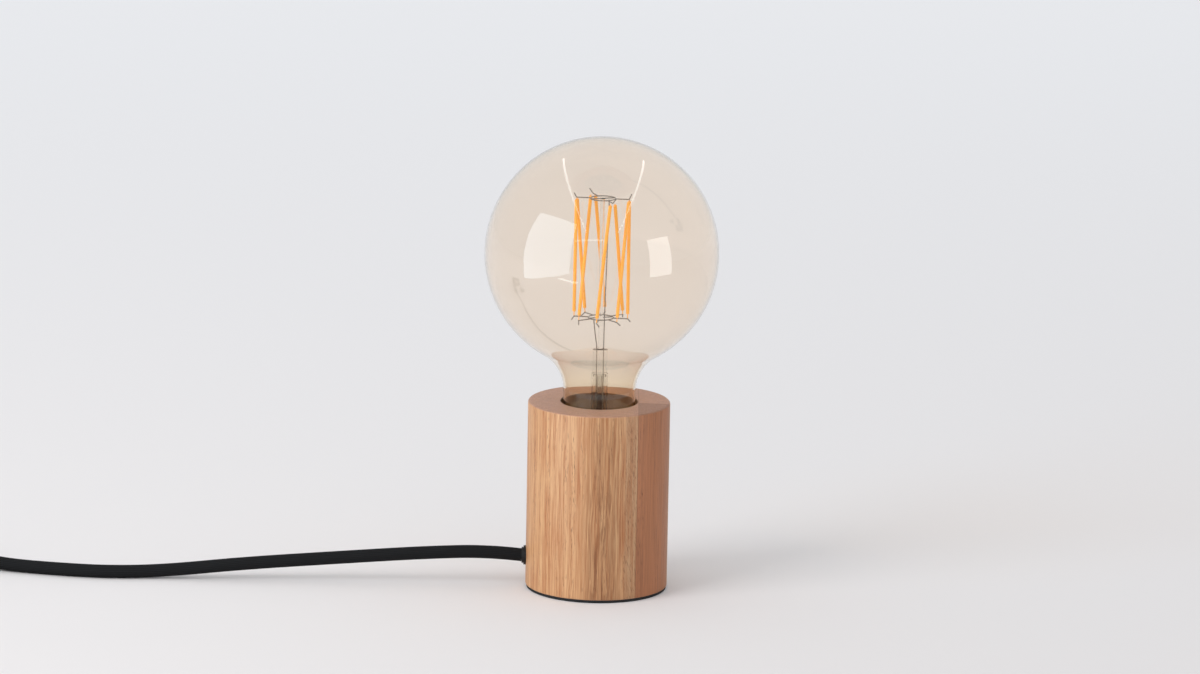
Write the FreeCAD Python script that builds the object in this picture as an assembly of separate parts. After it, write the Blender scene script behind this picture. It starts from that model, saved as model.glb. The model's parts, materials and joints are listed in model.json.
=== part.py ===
import FreeCAD, Part
import math
import os

from FreeCAD import Vector

# A bare bulb table lamp: a turned wooden cylinder with a lampholder sunk in its top, a large
# clear globe bulb screwed into it, and a braided cord with an in-line switch and a plug.
# Millimetres, +Z up.  The origin is the centre of the underside, on the table.
# The lamp's axis is Z.  The cord leaves towards -X.

# ---------------------------------------------------------------- base
BASE_DIA = 76.0            # wooden cylinder
BASE_TOP = 102.0           # height of its flat top above the table
PAD_DIA = 75.0             # foot ring under the wood
PAD_BORE = 64.0
PAD_THICK = 1.5
WELL_PLAY = 1.2            # gap round the lampholder in the well
BORE_FLOOR = 36.0
WEB_THICK = 10.0           # solid wood between the well and the cavity below
CAVITY_DIA = 50.0          # wiring cavity in the underside
COVER_DIA = 62.0
COVER_THICK = 1.6
COVER_PLAY = 0.3
COVER_RECESS = 2.0
COVER_SCREW_CIRCLE = 56.0
COVER_SCREW_DIA = 3.0
COVER_SCREW_HEAD = 5.4
COVER_SCREW_LENGTH = 12.0
COVER_SINK = 1.4           # depth of the countersunk heads
SCREW_SLOT = (3.2, 0.7, 0.8)   # length, width and depth of the cross in each head
EDGE_TOP = 1.0             # rounded edges of the wood
EDGE_FOOT = 0.6
EDGE_BORE = 0.6

# ---------------------------------------------------------------- cord entry
CORD_DIA = 7.0
EXIT_Z = 16.4              # height of the cord where it leaves the wood
BUSH_DIA = 8.9
BUSH_FLANGE_DIA = 10.4
BUSH_FLANGE = 1.2
BUSH_COLLAR_DIA = 8.6
BUSH_COLLAR = 1.0
BUSH_NUT_FLATS = 12.0
BUSH_NUT_THICK = 3.5
STOP_DIA = 13.0            # collar that stops the cord from being pulled out
STOP_WIDTH = 5.0
STOP_SCREW_DIA = 3.0
INNER_CORD_END = -12.5     # the braid and jacket end here, inside the cavity
CORE_DIA = 1.8             # insulated wires inside the cord
FIT = 0.05                 # clearance of pieces that are pushed or screwed together

# ---------------------------------------------------------------- lampholder, screw size 27 mm
NIPPLE_DIA = 10.0
NIPPLE_BORE = 8.0
NIPPLE_LENGTH = 23.0
NUT_FLATS = 14.0
NUT_THICK = 3.0
WASHER_DIA = 18.0
WASHER_THICK = 1.1
HOLDER_DIA = 38.6
DOME_FLOOR = 3.0
DOME_HEIGHT = 22.0
DOME_BOSS_DIA = 16.0
DOME_BOSS = 5.0
DOME_CHAMBER_DIA = 30.0
DOME_MOUTH_DIA = 34.4
LEDGE = 13.0               # height of the insert's seat above the well's floor
INSERT_DIA = 29.6
INSERT_FLANGE = 2.5
SKIRT_HEIGHT = 26.0
SKIRT_BORE = 30.4
SKIRT_LIP = 3.0
SKIRT_LIP_BORE = 28.2
SHELL_DIA = 28.4
SHELL_ROOT = 26.9
STRIP_THICK = 0.5          # metal strips of the two contacts
STRIP_WIDTH = 5.0
CENTRE_STRIP_X = 7.0       # where the centre contact passes up through the insert
TERMINAL_X = 10.0
TERMINAL_SCREW_DIA = 3.0
THREAD_PITCH = 3.629       # seven threads to the inch
THREAD_TURNS = 4.0
RIDGE_RADIUS = 0.95
THREAD_START = 6.0         # bulb's first thread above its tip

# ---------------------------------------------------------------- bulb
GLOBE_DIA = 125.0
GLOBE_RISE = 17.9          # underside of the sphere above the wood
GLASS = 0.8
NECK_DIA = 38.6
NECK_BLEND = 24.0          # concave radius between globe and neck
NECK_FOOT_Z = 100.0        # the neck starts to draw in here
GLASS_FOOT_DIA = 25.8
GLASS_FOOT_Z = 88.0
BULB_TIP_Z = 61.5
CAP_HEIGHT = 27.0
CAP_MINOR = 24.1
CAP_MAJOR = 26.3
CAP_WALL = 0.8
COLLAR_DIA = 27.0
COLLAR_HEIGHT = 5.0
CONTACT_DIA = 9.4
STEM_DIA = 8.8
STEM_FLARE_Z = 85.0
STEM_TUBE_Z = 97.0
PINCH_Z = (118.0, 130.0)
PINCH_SIZE = (8.0, 4.0)
ROD_DIA = 2.6
WIRE_DIA = 0.6
HOOP_DIA = 13.4
TOP_NODE_RADIUS = 14.1
TOP_NODE_Z = 212.4
TOP_NODE_ANGLES = (172.0, 112.0, 292.0, 352.0)
LOW_NODE_RADIUS = 14.5
LOW_NODE_Z = 147.6
LOW_NODE_ANGLES = (171.0, 216.0, 126.0, 261.0, 81.0, 306.0, 36.0, 351.0)
FILAMENT_DIA = 1.8
FILAMENT_TAB = 2.4         # bare wire between a filament and its hoop arm
FILAMENT_SPREAD = 1.3      # the two filaments of a top node stand this far to its sides
# Each filament's top node and low node, counted from 0, and its side of the top node.
FILAMENTS = (
    (0, 0, 1), (0, 2, -1), (1, 1, 1), (1, 4, -1), (2, 3, -1), (2, 6, 1), (3, 5, -1), (3, 7, 1),
)

# ---------------------------------------------------------------- in-line switch
SWITCH_CENTRE = (-386.7, 27.8)
SWITCH_ANGLE = 165.0       # direction of the cord through it, seen from above
SWITCH_SIZE = (64.0, 27.0, 17.0)
SWITCH_WALL = 1.8
SWITCH_CORD_Z = 8.5
SWITCH_CORNER = 8.0
ROCKER_SIZE = (15.4, 10.2, 8.6)
ROCKER_PLAY = 0.6
ROCKER_TILT = 8.0
ROCKER_PIVOT_Z = 13.4
PIVOT_DIA = 2.0
CLAMP_X = 25.0
CORD_END_X = 22.0          # the cord's jackets end this far from the switch's middle

# ---------------------------------------------------------------- plug with two round pins
PLUG_START = (-424.0, -35.0)
PLUG_TURN = -5.0           # degrees: the pins point past the lamp
PLUG_AXIS_Z = 6.85
PLUG_RELIEF = 24.0
PLUG_LENGTH = 36.0
PLUG_WIDTH = 35.3
PLUG_THICK = 13.7
PLUG_NECK = 14.0
PIN_DIA = 4.0
PIN_LENGTH = 19.0
PIN_SPACING = 18.6
SLEEVE_DIA = 3.6
SLEEVE_LENGTH = 10.0

# ---------------------------------------------------------------- cord
COIL_CENTRE = (-481.0, 9.6)
COIL_OUTER = 42.0          # radius of the outer turns, to the cord's middle
COIL_LAYERS = 3
TIE_THICK = 1.0
TIE_WIDTH = 12.0
TIE_PLAY = 0.3
TIE_CORNER = 2.4
TIE_ANGLE = 150.0
# Lamp to switch, chosen by hand along the cord in the picture.
LEAD_ROUTE = (
    (-40.6, 0.0, 16.4), (-58.0, 0.2, 18.2), (-92.0, -0.4, 16.9), (-142.0, 0.5, 12.7),
    (-190.0, -0.6, 9.0), (-232.0, 0.4, 3.9), (-262.0, -2.6, 3.5), (-290.0, 1.8, 3.5),
    (-315.5, 8.4, 3.5), (-332.3, 13.1, 5.3), (-349.0, 17.7, 8.5), (-365.4, 22.1, 8.5),
)
# Switch to coil.
TAIL_ROUTE = (
    (-408.0, 33.5, 8.5), (-424.4, 37.9, 8.5), (-441.2, 42.8, 5.5), (-457.0, 46.9, 4.5),
    (-470.8, 50.4, 4.5),
)
# Coil to plug.
END_ROUTE = (
    (-476.0, -32.4, 11.5), (-465.0, -32.4, 11.3), (-451.0, -32.8, 8.4),
    (-437.0, -33.9, 6.95), (-423.0, -35.1, 6.85), (-411.0, -36.1, 6.85), (-400.2, -37.08, 6.85),
)

# Well in the top that takes the lampholder and the bulb's neck.
BORE_DIA = HOLDER_DIA + 2 * WELL_PLAY
GLOBE_CENTRE_Z = BASE_TOP + GLOBE_RISE + GLOBE_DIA / 2
FOOT_Z = PAD_THICK
COVER_SEAT = FOOT_Z + COVER_RECESS
WEB_BOTTOM = BORE_FLOOR - WEB_THICK
HOLDER_JOINT = BORE_FLOOR + DOME_HEIGHT
SEAT_Z = BORE_FLOOR + LEDGE
CORD_R = CORD_DIA / 2
BIG = 400.0


# ---------------------------------------------------------------- shared shapes
def cylinder(radius, low, high, x=0.0, y=0.0):
    """An upright cylinder between two heights."""
    return Part.makeCylinder(radius, high - low, Vector(x, y, low))


def ring(outer, inner, low, high, x=0.0, y=0.0):
    """An upright tube between two heights."""
    return cylinder(outer, low, high, x, y).cut(cylinder(inner, low - 1, high + 1, x, y))


def rod(start, end, radius):
    """A straight round bar between two points."""
    start = Vector(*start)
    along = Vector(*end) - start
    return Part.makeCylinder(radius, along.Length, start, along)


def block(low, high):
    """A box between two corners."""
    size = [b - a for a, b in zip(low, high)]
    return Part.makeBox(size[0], size[1], size[2], Vector(*low))


def prism_hex(flats, low, high):
    """An upright hexagonal prism, with corners along Y."""
    radius = flats / math.sqrt(3)
    turns = [math.radians(90 + 60 * k) for k in range(7)]
    corners = [Vector(radius * math.cos(t), radius * math.sin(t), low) for t in turns]
    return Part.Face(Part.makePolygon(corners)).extrude(Vector(0, 0, high - low))


def spun(edges):
    """A closed outline in the XZ plane turned into a round solid about Z."""
    face = Part.Face(Part.Wire(Part.__sortEdges__(edges)))
    return face.revolve(Vector(0, 0, 0), Vector(0, 0, 1), 360)


def at(radius, height):
    """A point of an outline in the XZ plane."""
    return Vector(radius, 0, height)


def line(start, end):
    return Part.LineSegment(start, end).toShape()


def arc(start, middle, end):
    return Part.Arc(start, middle, end).toShape()


def rounded(shape, radius, wanted):
    """Round the edges that a test picks."""
    return shape.makeFillet(radius, [e for e in shape.Edges if wanted(e)])


def circle_at(height, radius):
    """A test for the round edge of one radius at one height."""
    def wanted(edge):
        curve = edge.Curve
        if not isinstance(curve, Part.Circle):
            return False
        return abs(curve.Center.z - height) < 1e-6 and abs(curve.Radius - radius) < 1e-6
    return wanted


def bent_strip(points, width):
    """A flat metal strip bent along points in the XZ plane, centred on Y = 0."""
    points = [Vector(x, 0, z) for x, z in points]
    half = STRIP_THICK / 2
    sides = ([], [])
    for k, point in enumerate(points):
        before = point - points[k - 1] if k else points[1] - point
        after = points[k + 1] - point if k + 1 < len(points) else before
        before.normalize()
        after.normalize()
        lean = before + after
        lean.normalize()
        across = Vector(-lean.z, 0, lean.x)
        reach = half / max(0.3, lean.dot(before))
        sides[0].append(point + across * reach)
        sides[1].append(point - across * reach)
    outline = sides[0] + sides[1][::-1]
    outline.append(outline[0])
    face = Part.Face(Part.makePolygon(outline))
    face.translate(Vector(0, -width / 2, 0))
    return face.extrude(Vector(0, width, 0))


def along_route(points, radius, report=""):
    """A round tube along straight runs that are joined by tangent arcs."""
    points = [Vector(*p) for p in points]
    edges, last, length, radii = [], points[0], 0.0, []
    for before, corner, after in zip(points, points[1:], points[2:]):
        into, out = corner - before, after - corner
        shorter = min(into.Length, out.Length)
        turn = into.getAngle(out)
        into.normalize()
        out.normalize()
        reach = 0.45 * shorter
        bend = reach / math.tan(turn / 2)
        start, end = corner - into * reach, corner + out * reach
        inward = out - into
        inward.normalize()
        middle = corner + inward * (bend / math.cos(turn / 2) - bend)
        edges += [line(last, start), arc(start, middle, end)]
        length += (start - last).Length + bend * turn
        radii.append(bend)
        last = end
    edges.append(line(last, points[-1]))
    length += (points[-1] - last).Length
    section = Part.Wire(Part.Circle(points[0], points[1] - points[0], radius).toShape())
    tube = Part.Wire(edges).makePipeShell([section], True, True)
    if report:
        share = tube.Volume / (math.pi * radius**2 * length)
        print(report, "length", round(length, 1), "volume share", round(share, 4),
              "radii", [round(r) for r in radii])
    return tube


def ridge(radius, start):
    """A round-backed screw thread: a ridge wound about Z, one pitch up for each turn."""
    helix = Part.makeHelix(THREAD_PITCH, THREAD_TURNS * THREAD_PITCH, radius)
    section = Part.Wire(Part.Circle(Vector(radius, 0, 0), Vector(0, 1, 0), RIDGE_RADIUS).toShape())
    thread = Part.Wire(helix).makePipeShell([section], True, True)
    thread.translate(Vector(0, 0, start))
    return thread


def polar(radius, degrees, height):
    turn = math.radians(degrees)
    return (radius * math.cos(turn), radius * math.sin(turn), height)


# ---------------------------------------------------------------- base
def foot_pad():
    return ring(PAD_DIA / 2, PAD_BORE / 2, 0, PAD_THICK)


def cover_screw_places():
    return [polar(COVER_SCREW_CIRCLE / 2, 30 + 120 * k, 0)[:2] for k in range(3)]


def wood_body():
    wood = cylinder(BASE_DIA / 2, FOOT_Z, BASE_TOP)
    wood = rounded(wood, EDGE_TOP, circle_at(BASE_TOP, BASE_DIA / 2))
    wood = rounded(wood, EDGE_FOOT, circle_at(FOOT_Z, BASE_DIA / 2))
    wood = wood.cut(cylinder(BORE_DIA / 2, BORE_FLOOR, BASE_TOP + 1))
    wood = rounded(wood, EDGE_BORE, circle_at(BASE_TOP, BORE_DIA / 2))
    wood = wood.cut(cylinder(CAVITY_DIA / 2, FOOT_Z - 1, WEB_BOTTOM))
    wood = wood.cut(cylinder(COVER_DIA / 2 + COVER_PLAY, FOOT_Z - 1, COVER_SEAT))
    wood = wood.cut(cylinder(NIPPLE_DIA / 2 + 0.25, WEB_BOTTOM - 1, BORE_FLOOR + 1))
    for x, y in cover_screw_places():
        top = COVER_SEAT - COVER_THICK + COVER_SCREW_LENGTH
        wood = wood.cut(cylinder(COVER_SCREW_DIA / 2 + FIT, COVER_SEAT - 1, top, x, y))
    hole = rod((-BASE_DIA, 0, EXIT_Z), (-CAVITY_DIA / 2 + 6, 0, EXIT_Z), BUSH_DIA / 2 + FIT)
    return wood.cut(hole)


def countersunk(x, y, low):
    """A countersunk screw with its flat head down, as it is driven from below."""
    head = Part.makeCone(COVER_SCREW_HEAD / 2, COVER_SCREW_DIA / 2, COVER_SINK, Vector(x, y, low))
    shank = cylinder(COVER_SCREW_DIA / 2, low + COVER_SINK, low + COVER_SCREW_LENGTH, x, y)
    return head.fuse(shank)


def bottom_cover():
    low = COVER_SEAT - COVER_THICK
    plate = cylinder(COVER_DIA / 2, low, COVER_SEAT)
    for x, y in cover_screw_places():
        sink = Part.makeCone(COVER_SCREW_HEAD / 2 + FIT, COVER_SCREW_DIA / 2 + FIT, COVER_SINK,
                             Vector(x, y, low))
        plate = plate.cut(sink)
        plate = plate.cut(cylinder(COVER_SCREW_DIA / 2 + FIT, low, COVER_SEAT + 1, x, y))
    return plate


def cover_screws():
    low = COVER_SEAT - COVER_THICK
    reach, slot, depth = SCREW_SLOT
    screws = []
    for x, y in cover_screw_places():
        screw = countersunk(x, y, low)
        for wide, deep in ((slot, reach), (reach, slot)):
            corner = (x - wide / 2, y - deep / 2, low - 1)
            screw = screw.cut(block(corner, (x + wide / 2, y + deep / 2, low + depth)))
        screws.append(screw)
    return Part.makeCompound(screws)


# ---------------------------------------------------------------- cord entry
BUSH_END = -CAVITY_DIA / 2 + 4.8
NUT_FACE = -math.sqrt((CAVITY_DIA / 2) ** 2 - (BUSH_NUT_FLATS / 2) ** 2) + 0.07
FLANGE_FACE = -BASE_DIA / 2 - BUSH_FLANGE
COLLAR_FACE = FLANGE_FACE - BUSH_COLLAR


def lying(radius, start, end):
    """A cylinder along X at the height of the cord's exit."""
    return rod((start, 0, EXIT_Z), (end, 0, EXIT_Z), radius)


def cord_bushing():
    flange = lying(BUSH_FLANGE_DIA / 2, -BASE_DIA / 2 + 1.5, FLANGE_FACE)
    flange = flange.cut(cylinder(BASE_DIA / 2, 0, BASE_TOP))
    bush = flange.fuse(lying(BUSH_DIA / 2, BUSH_END, FLANGE_FACE + BUSH_FLANGE / 2))
    bush = bush.fuse(lying(BUSH_COLLAR_DIA / 2, FLANGE_FACE + BUSH_FLANGE / 2, COLLAR_FACE))
    return bush.cut(lying(CORD_R, -1, -BIG)).removeSplitter()


def bushing_nut():
    nut = prism_hex(BUSH_NUT_FLATS, 0, BUSH_NUT_THICK)
    nut.rotate(Vector(0, 0, 0), Vector(0, 0, 1), 90)
    nut.rotate(Vector(0, 0, 0), Vector(0, 1, 0), 90)
    nut.translate(Vector(NUT_FACE, 0, EXIT_Z))
    return nut.cut(lying(BUSH_DIA / 2 + FIT, -BIG, 0))


def cord_stop():
    stop = lying(STOP_DIA / 2, BUSH_END, BUSH_END + STOP_WIDTH)
    stop = stop.cut(lying(CORD_R, -BIG, 0))
    x = BUSH_END + STOP_WIDTH / 2
    return stop.cut(cylinder(STOP_SCREW_DIA / 2 + FIT, EXIT_Z, EXIT_Z + STOP_DIA, x))


def stop_screw():
    x = BUSH_END + STOP_WIDTH / 2
    low = EXIT_Z + CORD_R + FIT
    screw = cylinder(STOP_SCREW_DIA / 2, low, low + 4, x)
    return screw.cut(block((x - 2, -0.3, low + 3.2), (x + 2, 0.3, low + 5)))


def cord_inner():
    return lying(CORD_R, INNER_CORD_END, COLLAR_FACE)


def supply_wire(side):
    """One insulated wire, from the cord's end up through the nipple to its terminal."""
    y = 1.7
    return along_route(
        ((INNER_CORD_END + 0.1, 0.9 * y * side, EXIT_Z), (-6.5, y * side, EXIT_Z),
         (-2.0, y * side, EXIT_Z + 3.0), (0.0, y * side, EXIT_Z + 9.0),
         (0.3 * side, 1.1 * y * side, SEAT_Z - 10.0), (1.0 * side, 1.2 * y * side, SEAT_Z - 5.6),
         (3.0 * side, 1.4 * y * side, SEAT_Z - 3.2), (7.0 * side, 1.2 * y * side, SEAT_Z - 2.2)),
        CORE_DIA / 2)


# ---------------------------------------------------------------- lampholder
def nipple():
    low = BORE_FLOOR + DOME_FLOOR + DOME_BOSS - NIPPLE_LENGTH
    return ring(NIPPLE_DIA / 2, NIPPLE_BORE / 2, low, low + NIPPLE_LENGTH)


def nipple_washer():
    low = WEB_BOTTOM - WASHER_THICK
    return ring(WASHER_DIA / 2, NIPPLE_DIA / 2 + 0.1, low, WEB_BOTTOM)


def nipple_nut():
    high = WEB_BOTTOM - WASHER_THICK
    nut = prism_hex(NUT_FLATS, high - NUT_THICK, high)
    return nut.cut(cylinder(NIPPLE_DIA / 2 + FIT, 0, BASE_TOP))


def holder_dome():
    floor = BORE_FLOOR + DOME_FLOOR
    dome = cylinder(HOLDER_DIA / 2, BORE_FLOOR, HOLDER_JOINT)
    dome = rounded(dome, 2.4, circle_at(BORE_FLOOR, HOLDER_DIA / 2))
    chamber = ring(DOME_CHAMBER_DIA / 2, DOME_BOSS_DIA / 2, floor, floor + DOME_BOSS)
    chamber = chamber.fuse(cylinder(DOME_CHAMBER_DIA / 2, floor + DOME_BOSS, SEAT_Z))
    dome = dome.cut(chamber)
    dome = dome.cut(cylinder(DOME_MOUTH_DIA / 2, SEAT_Z, HOLDER_JOINT + 1))
    return dome.cut(cylinder(NIPPLE_DIA / 2 + FIT, BORE_FLOOR - 1, BASE_TOP))


def centre_contact():
    level = SEAT_Z - STRIP_THICK / 2 - FIT
    top = HOLDER_JOINT + STRIP_THICK
    blade = BULB_TIP_Z - 0.3 - STRIP_THICK / 2
    strip = bent_strip(((12.5, level), (CENTRE_STRIP_X, level), (CENTRE_STRIP_X, top), (3.5, top),
                        (0.8, blade), (-0.8, blade), (-3.2, blade - 1.0)), STRIP_WIDTH)
    return strip.cut(cylinder(TERMINAL_SCREW_DIA / 2 + 0.1, 0, SEAT_Z, TERMINAL_X))


def side_contact():
    level = SEAT_Z - STRIP_THICK / 2 - FIT
    x = -(SHELL_DIA + SHELL_ROOT) / 4
    strip = bent_strip(((-8.0, level), (x, level), (x, HOLDER_JOINT)), STRIP_WIDTH)
    return strip.cut(cylinder(TERMINAL_SCREW_DIA / 2 + 0.1, 0, SEAT_Z, -TERMINAL_X))


def holder_insert():
    insert = cylinder(INSERT_DIA / 2, SEAT_Z, HOLDER_JOINT)
    insert = insert.fuse(cylinder(DOME_MOUTH_DIA / 2 - 0.1, SEAT_Z, SEAT_Z + INSERT_FLANGE))
    half, wide = STRIP_THICK / 2 + FIT, STRIP_WIDTH / 2 + FIT
    for x in (CENTRE_STRIP_X, -(SHELL_DIA + SHELL_ROOT) / 4):
        insert = insert.cut(block((x - half, -wide, 0), (x + half, wide, BASE_TOP)))
    for side in (-1, 1):
        hole = cylinder(TERMINAL_SCREW_DIA / 2 + FIT, SEAT_Z - 1, SEAT_Z + 6, side * TERMINAL_X)
        insert = insert.cut(hole)
    return insert


def terminal_screws():
    face = SEAT_Z - STRIP_THICK - 2 * FIT
    screws = []
    for side in (-1, 1):
        x = side * TERMINAL_X
        screw = cylinder(TERMINAL_SCREW_DIA / 2, face, SEAT_Z + 5.5, x)
        screw = screw.fuse(cylinder(2.6, face - 2.0, face, x))
        screws.append(screw.cut(block((x - 3, -0.35, face - 3), (x + 3, 0.35, face - 1.1))))
    return Part.makeCompound(screws)


def holder_skirt():
    top = HOLDER_JOINT + SKIRT_HEIGHT
    low = SEAT_Z + INSERT_FLANGE
    skirt = cylinder(HOLDER_DIA / 2, HOLDER_JOINT, top)
    skirt = rounded(skirt, 1.4, circle_at(top, HOLDER_DIA / 2))
    skirt = skirt.fuse(cylinder(DOME_MOUTH_DIA / 2 - FIT, low, HOLDER_JOINT))
    skirt = skirt.cut(cylinder(INSERT_DIA / 2 + 0.1, low - 1, HOLDER_JOINT))
    skirt = skirt.cut(cylinder(SKIRT_BORE / 2, HOLDER_JOINT, top - SKIRT_LIP))
    return skirt.cut(cylinder(SKIRT_LIP_BORE / 2, HOLDER_JOINT, top + 1))


def holder_shell():
    top = HOLDER_JOINT + SKIRT_HEIGHT - SKIRT_LIP - 0.2
    shell = ring(SHELL_DIA / 2, SHELL_ROOT / 2, HOLDER_JOINT, top)
    start = BULB_TIP_Z + THREAD_START - 1.5 * THREAD_PITCH
    thread = ridge(SHELL_ROOT / 2 - FIT, start)
    outside = ring(SHELL_DIA, SHELL_DIA / 2 - 0.1, HOLDER_JOINT - 5, top + 5)
    return shell.fuse(thread.cut(outside))


# ---------------------------------------------------------------- bulb
def glass_outline(inset):
    """Edges of the glass outline from the foot to the pole, moved inwards by inset."""
    radius = GLOBE_DIA / 2 - inset
    neck = NECK_DIA / 2 - inset
    foot = GLASS_FOOT_DIA / 2 - inset
    blend_r = NECK_DIA / 2 + NECK_BLEND
    blend_z = GLOBE_CENTRE_Z - math.sqrt((GLOBE_DIA / 2 + NECK_BLEND) ** 2 - blend_r**2)
    lean = math.atan2(blend_z - GLOBE_CENTRE_Z, blend_r)
    join = at(radius * math.cos(lean), GLOBE_CENTRE_Z + radius * math.sin(lean))
    reach = NECK_BLEND + inset
    middle_turn = (lean + math.pi + math.pi) / 2
    middle = at(blend_r + reach * math.cos(middle_turn), blend_z + reach * math.sin(middle_turn))
    drop = NECK_FOOT_Z - GLASS_FOOT_Z
    draw = (NECK_DIA - GLASS_FOOT_DIA) / 2
    bend = (draw**2 + drop**2) / (4 * draw)
    sweep = math.asin(drop / 2 / bend)
    out_c, in_c = NECK_DIA / 2 - bend, GLASS_FOOT_DIA / 2 + bend
    near, far = bend - inset, bend + inset
    knee = at(out_c + near * math.cos(sweep), NECK_FOOT_Z - near * math.sin(sweep))
    bulge = at(out_c + near * math.cos(sweep / 2), NECK_FOOT_Z - near * math.sin(sweep / 2))
    waist = at(in_c - far * math.cos(sweep / 2), GLASS_FOOT_Z + far * math.sin(sweep / 2))
    end = at(foot, BULB_TIP_Z + CAP_HEIGHT - COLLAR_HEIGHT + 0.6)
    belly_turn = (lean + math.pi / 2) / 2
    belly = at(radius * math.cos(belly_turn), GLOBE_CENTRE_Z + radius * math.sin(belly_turn))
    pole = at(0, GLOBE_CENTRE_Z + radius)
    edges = [
        line(end, at(foot, GLASS_FOOT_Z)),
        arc(at(foot, GLASS_FOOT_Z), waist, knee),
        arc(knee, bulge, at(neck, NECK_FOOT_Z)),
        line(at(neck, NECK_FOOT_Z), at(neck, blend_z)),
        arc(at(neck, blend_z), middle, join),
        arc(join, belly, pole),
    ]
    return edges, end, pole


def globe():
    outer, outer_end, outer_pole = glass_outline(0.0)
    inner, inner_end, inner_pole = glass_outline(GLASS)
    return spun(outer + inner + [line(outer_end, inner_end), line(outer_pole, inner_pole)])


def stem():
    """The glass stem: a flare sealed into the neck, a tube and a pinched top."""
    rim = GLASS_FOOT_DIA / 2 - GLASS - FIT
    tube = STEM_DIA / 2
    flare = [
        line(at(rim, STEM_FLARE_Z), at(rim, STEM_FLARE_Z + GLASS)),
        arc(at(rim, STEM_FLARE_Z + GLASS), at(tube + 1.5, STEM_FLARE_Z + 4.4), at(tube, STEM_TUBE_Z)),
        line(at(tube, STEM_TUBE_Z), at(tube, PINCH_Z[0])),
        line(at(tube, PINCH_Z[0]), at(tube - GLASS, PINCH_Z[0])),
        line(at(tube - GLASS, PINCH_Z[0]), at(tube - GLASS, STEM_TUBE_Z)),
        arc(at(tube - GLASS, STEM_TUBE_Z), at(tube + 0.6, STEM_FLARE_Z + 3.7), at(rim - 0.6, STEM_FLARE_Z)),
        line(at(rim - 0.6, STEM_FLARE_Z), at(rim, STEM_FLARE_Z)),
    ]
    wide, deep = PINCH_SIZE[0] / 2, PINCH_SIZE[1] / 2
    pinch = block((-wide, -deep, PINCH_Z[0] - 1.5), (wide, deep, PINCH_Z[1]))
    pinch = rounded(pinch, 1.2, lambda e: abs(e.tangentAt(e.FirstParameter).z) > 0.9)
    glass = spun(flare).fuse(pinch)
    for x in (-1.8, 1.8):
        glass = glass.cut(cylinder(WIRE_DIA / 2 + 0.02, PINCH_Z[0] - 5, PINCH_Z[1] + 5, x))
    tip_z = STEM_FLARE_Z + 0.5
    exhaust = ring(1.4, 0.9, tip_z, PINCH_Z[0] - 1.0)
    tip = Part.makeSphere(1.4, Vector(0, 0, tip_z))
    tip = tip.cut(cylinder(BASE_DIA, tip_z, tip_z + 2))
    return glass.fuse(exhaust).fuse(tip)


def support_rod():
    return cylinder(ROD_DIA / 2, PINCH_Z[1], TOP_NODE_Z - WIRE_DIA / 2)


def low_wires():
    """The two wires that leave the pinch: one to the lower hoop, one beside the rod to the top."""
    foot = STEM_FLARE_Z + 1.0
    edge = HOOP_DIA / 2 - WIRE_DIA
    hook = polar(edge, 232, LOW_NODE_Z)
    to_low = along_route(((-1.8, 0, foot), (-1.8, 0, PINCH_Z[1] + 1.6),
                          (-2.6, -1.4, PINCH_Z[1] + 7.0), hook), WIRE_DIA / 2)
    to_top = along_route(((1.8, 0, foot), (1.8, 0, PINCH_Z[1] + 1.6),
                          (2.0, -0.3, PINCH_Z[1] + 20.0), (3.4, -0.6, TOP_NODE_Z - WIRE_DIA)),
                         WIRE_DIA / 2)
    return to_low, to_top


def hoop(height):
    return Part.makeTorus(HOOP_DIA / 2, WIRE_DIA / 2, Vector(0, 0, height))


def arm(node_radius, degrees, height, tip):
    """A wire from the hoop out to a node, with a short bent tip."""
    inner = polar(HOOP_DIA / 2, degrees, height)
    outer = polar(node_radius, degrees, height)
    end = polar(node_radius + 1.2, degrees + 6, height + tip)
    piece = rod(inner, outer, WIRE_DIA / 2).fuse(rod(outer, end, WIRE_DIA / 2))
    return piece.fuse(Part.makeSphere(WIRE_DIA / 2, Vector(*outer)))


def spider(height, node_radius, angles, tip, cross_gap):
    """A hoop of wire with an arm to each node and cross wires to the rod in its middle."""
    piece = hoop(height)
    for degrees in angles:
        piece = piece.fuse(arm(node_radius, degrees, height, tip))
    for degrees in (20, 200):
        inner = polar(cross_gap, degrees, height)
        outer = polar(HOOP_DIA / 2, degrees, height)
        piece = piece.fuse(rod(inner, outer, WIRE_DIA / 2))
    return piece


def upper_spider():
    return spider(TOP_NODE_Z, TOP_NODE_RADIUS, TOP_NODE_ANGLES, 2.6, 0.0)


def lower_spider():
    return spider(LOW_NODE_Z, LOW_NODE_RADIUS, LOW_NODE_ANGLES, -1.8, ROD_DIA / 2 + FIT)


def filament(number):
    """One straight filament with bare wire ends, hung between its two nodes."""
    top_node, low_node, side = FILAMENTS[number]
    turn = math.degrees(side * FILAMENT_SPREAD / TOP_NODE_RADIUS)
    top = Vector(*polar(TOP_NODE_RADIUS, TOP_NODE_ANGLES[top_node] + turn, TOP_NODE_Z - 0.5))
    low = Vector(*polar(LOW_NODE_RADIUS, LOW_NODE_ANGLES[low_node], LOW_NODE_Z + WIRE_DIA / 2 + FIT))
    along = low - top
    along.normalize()
    body = rod(top + along * 0.8, low - along * FILAMENT_TAB, FILAMENT_DIA / 2)
    return body.fuse(rod(top, low, 0.25))


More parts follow.
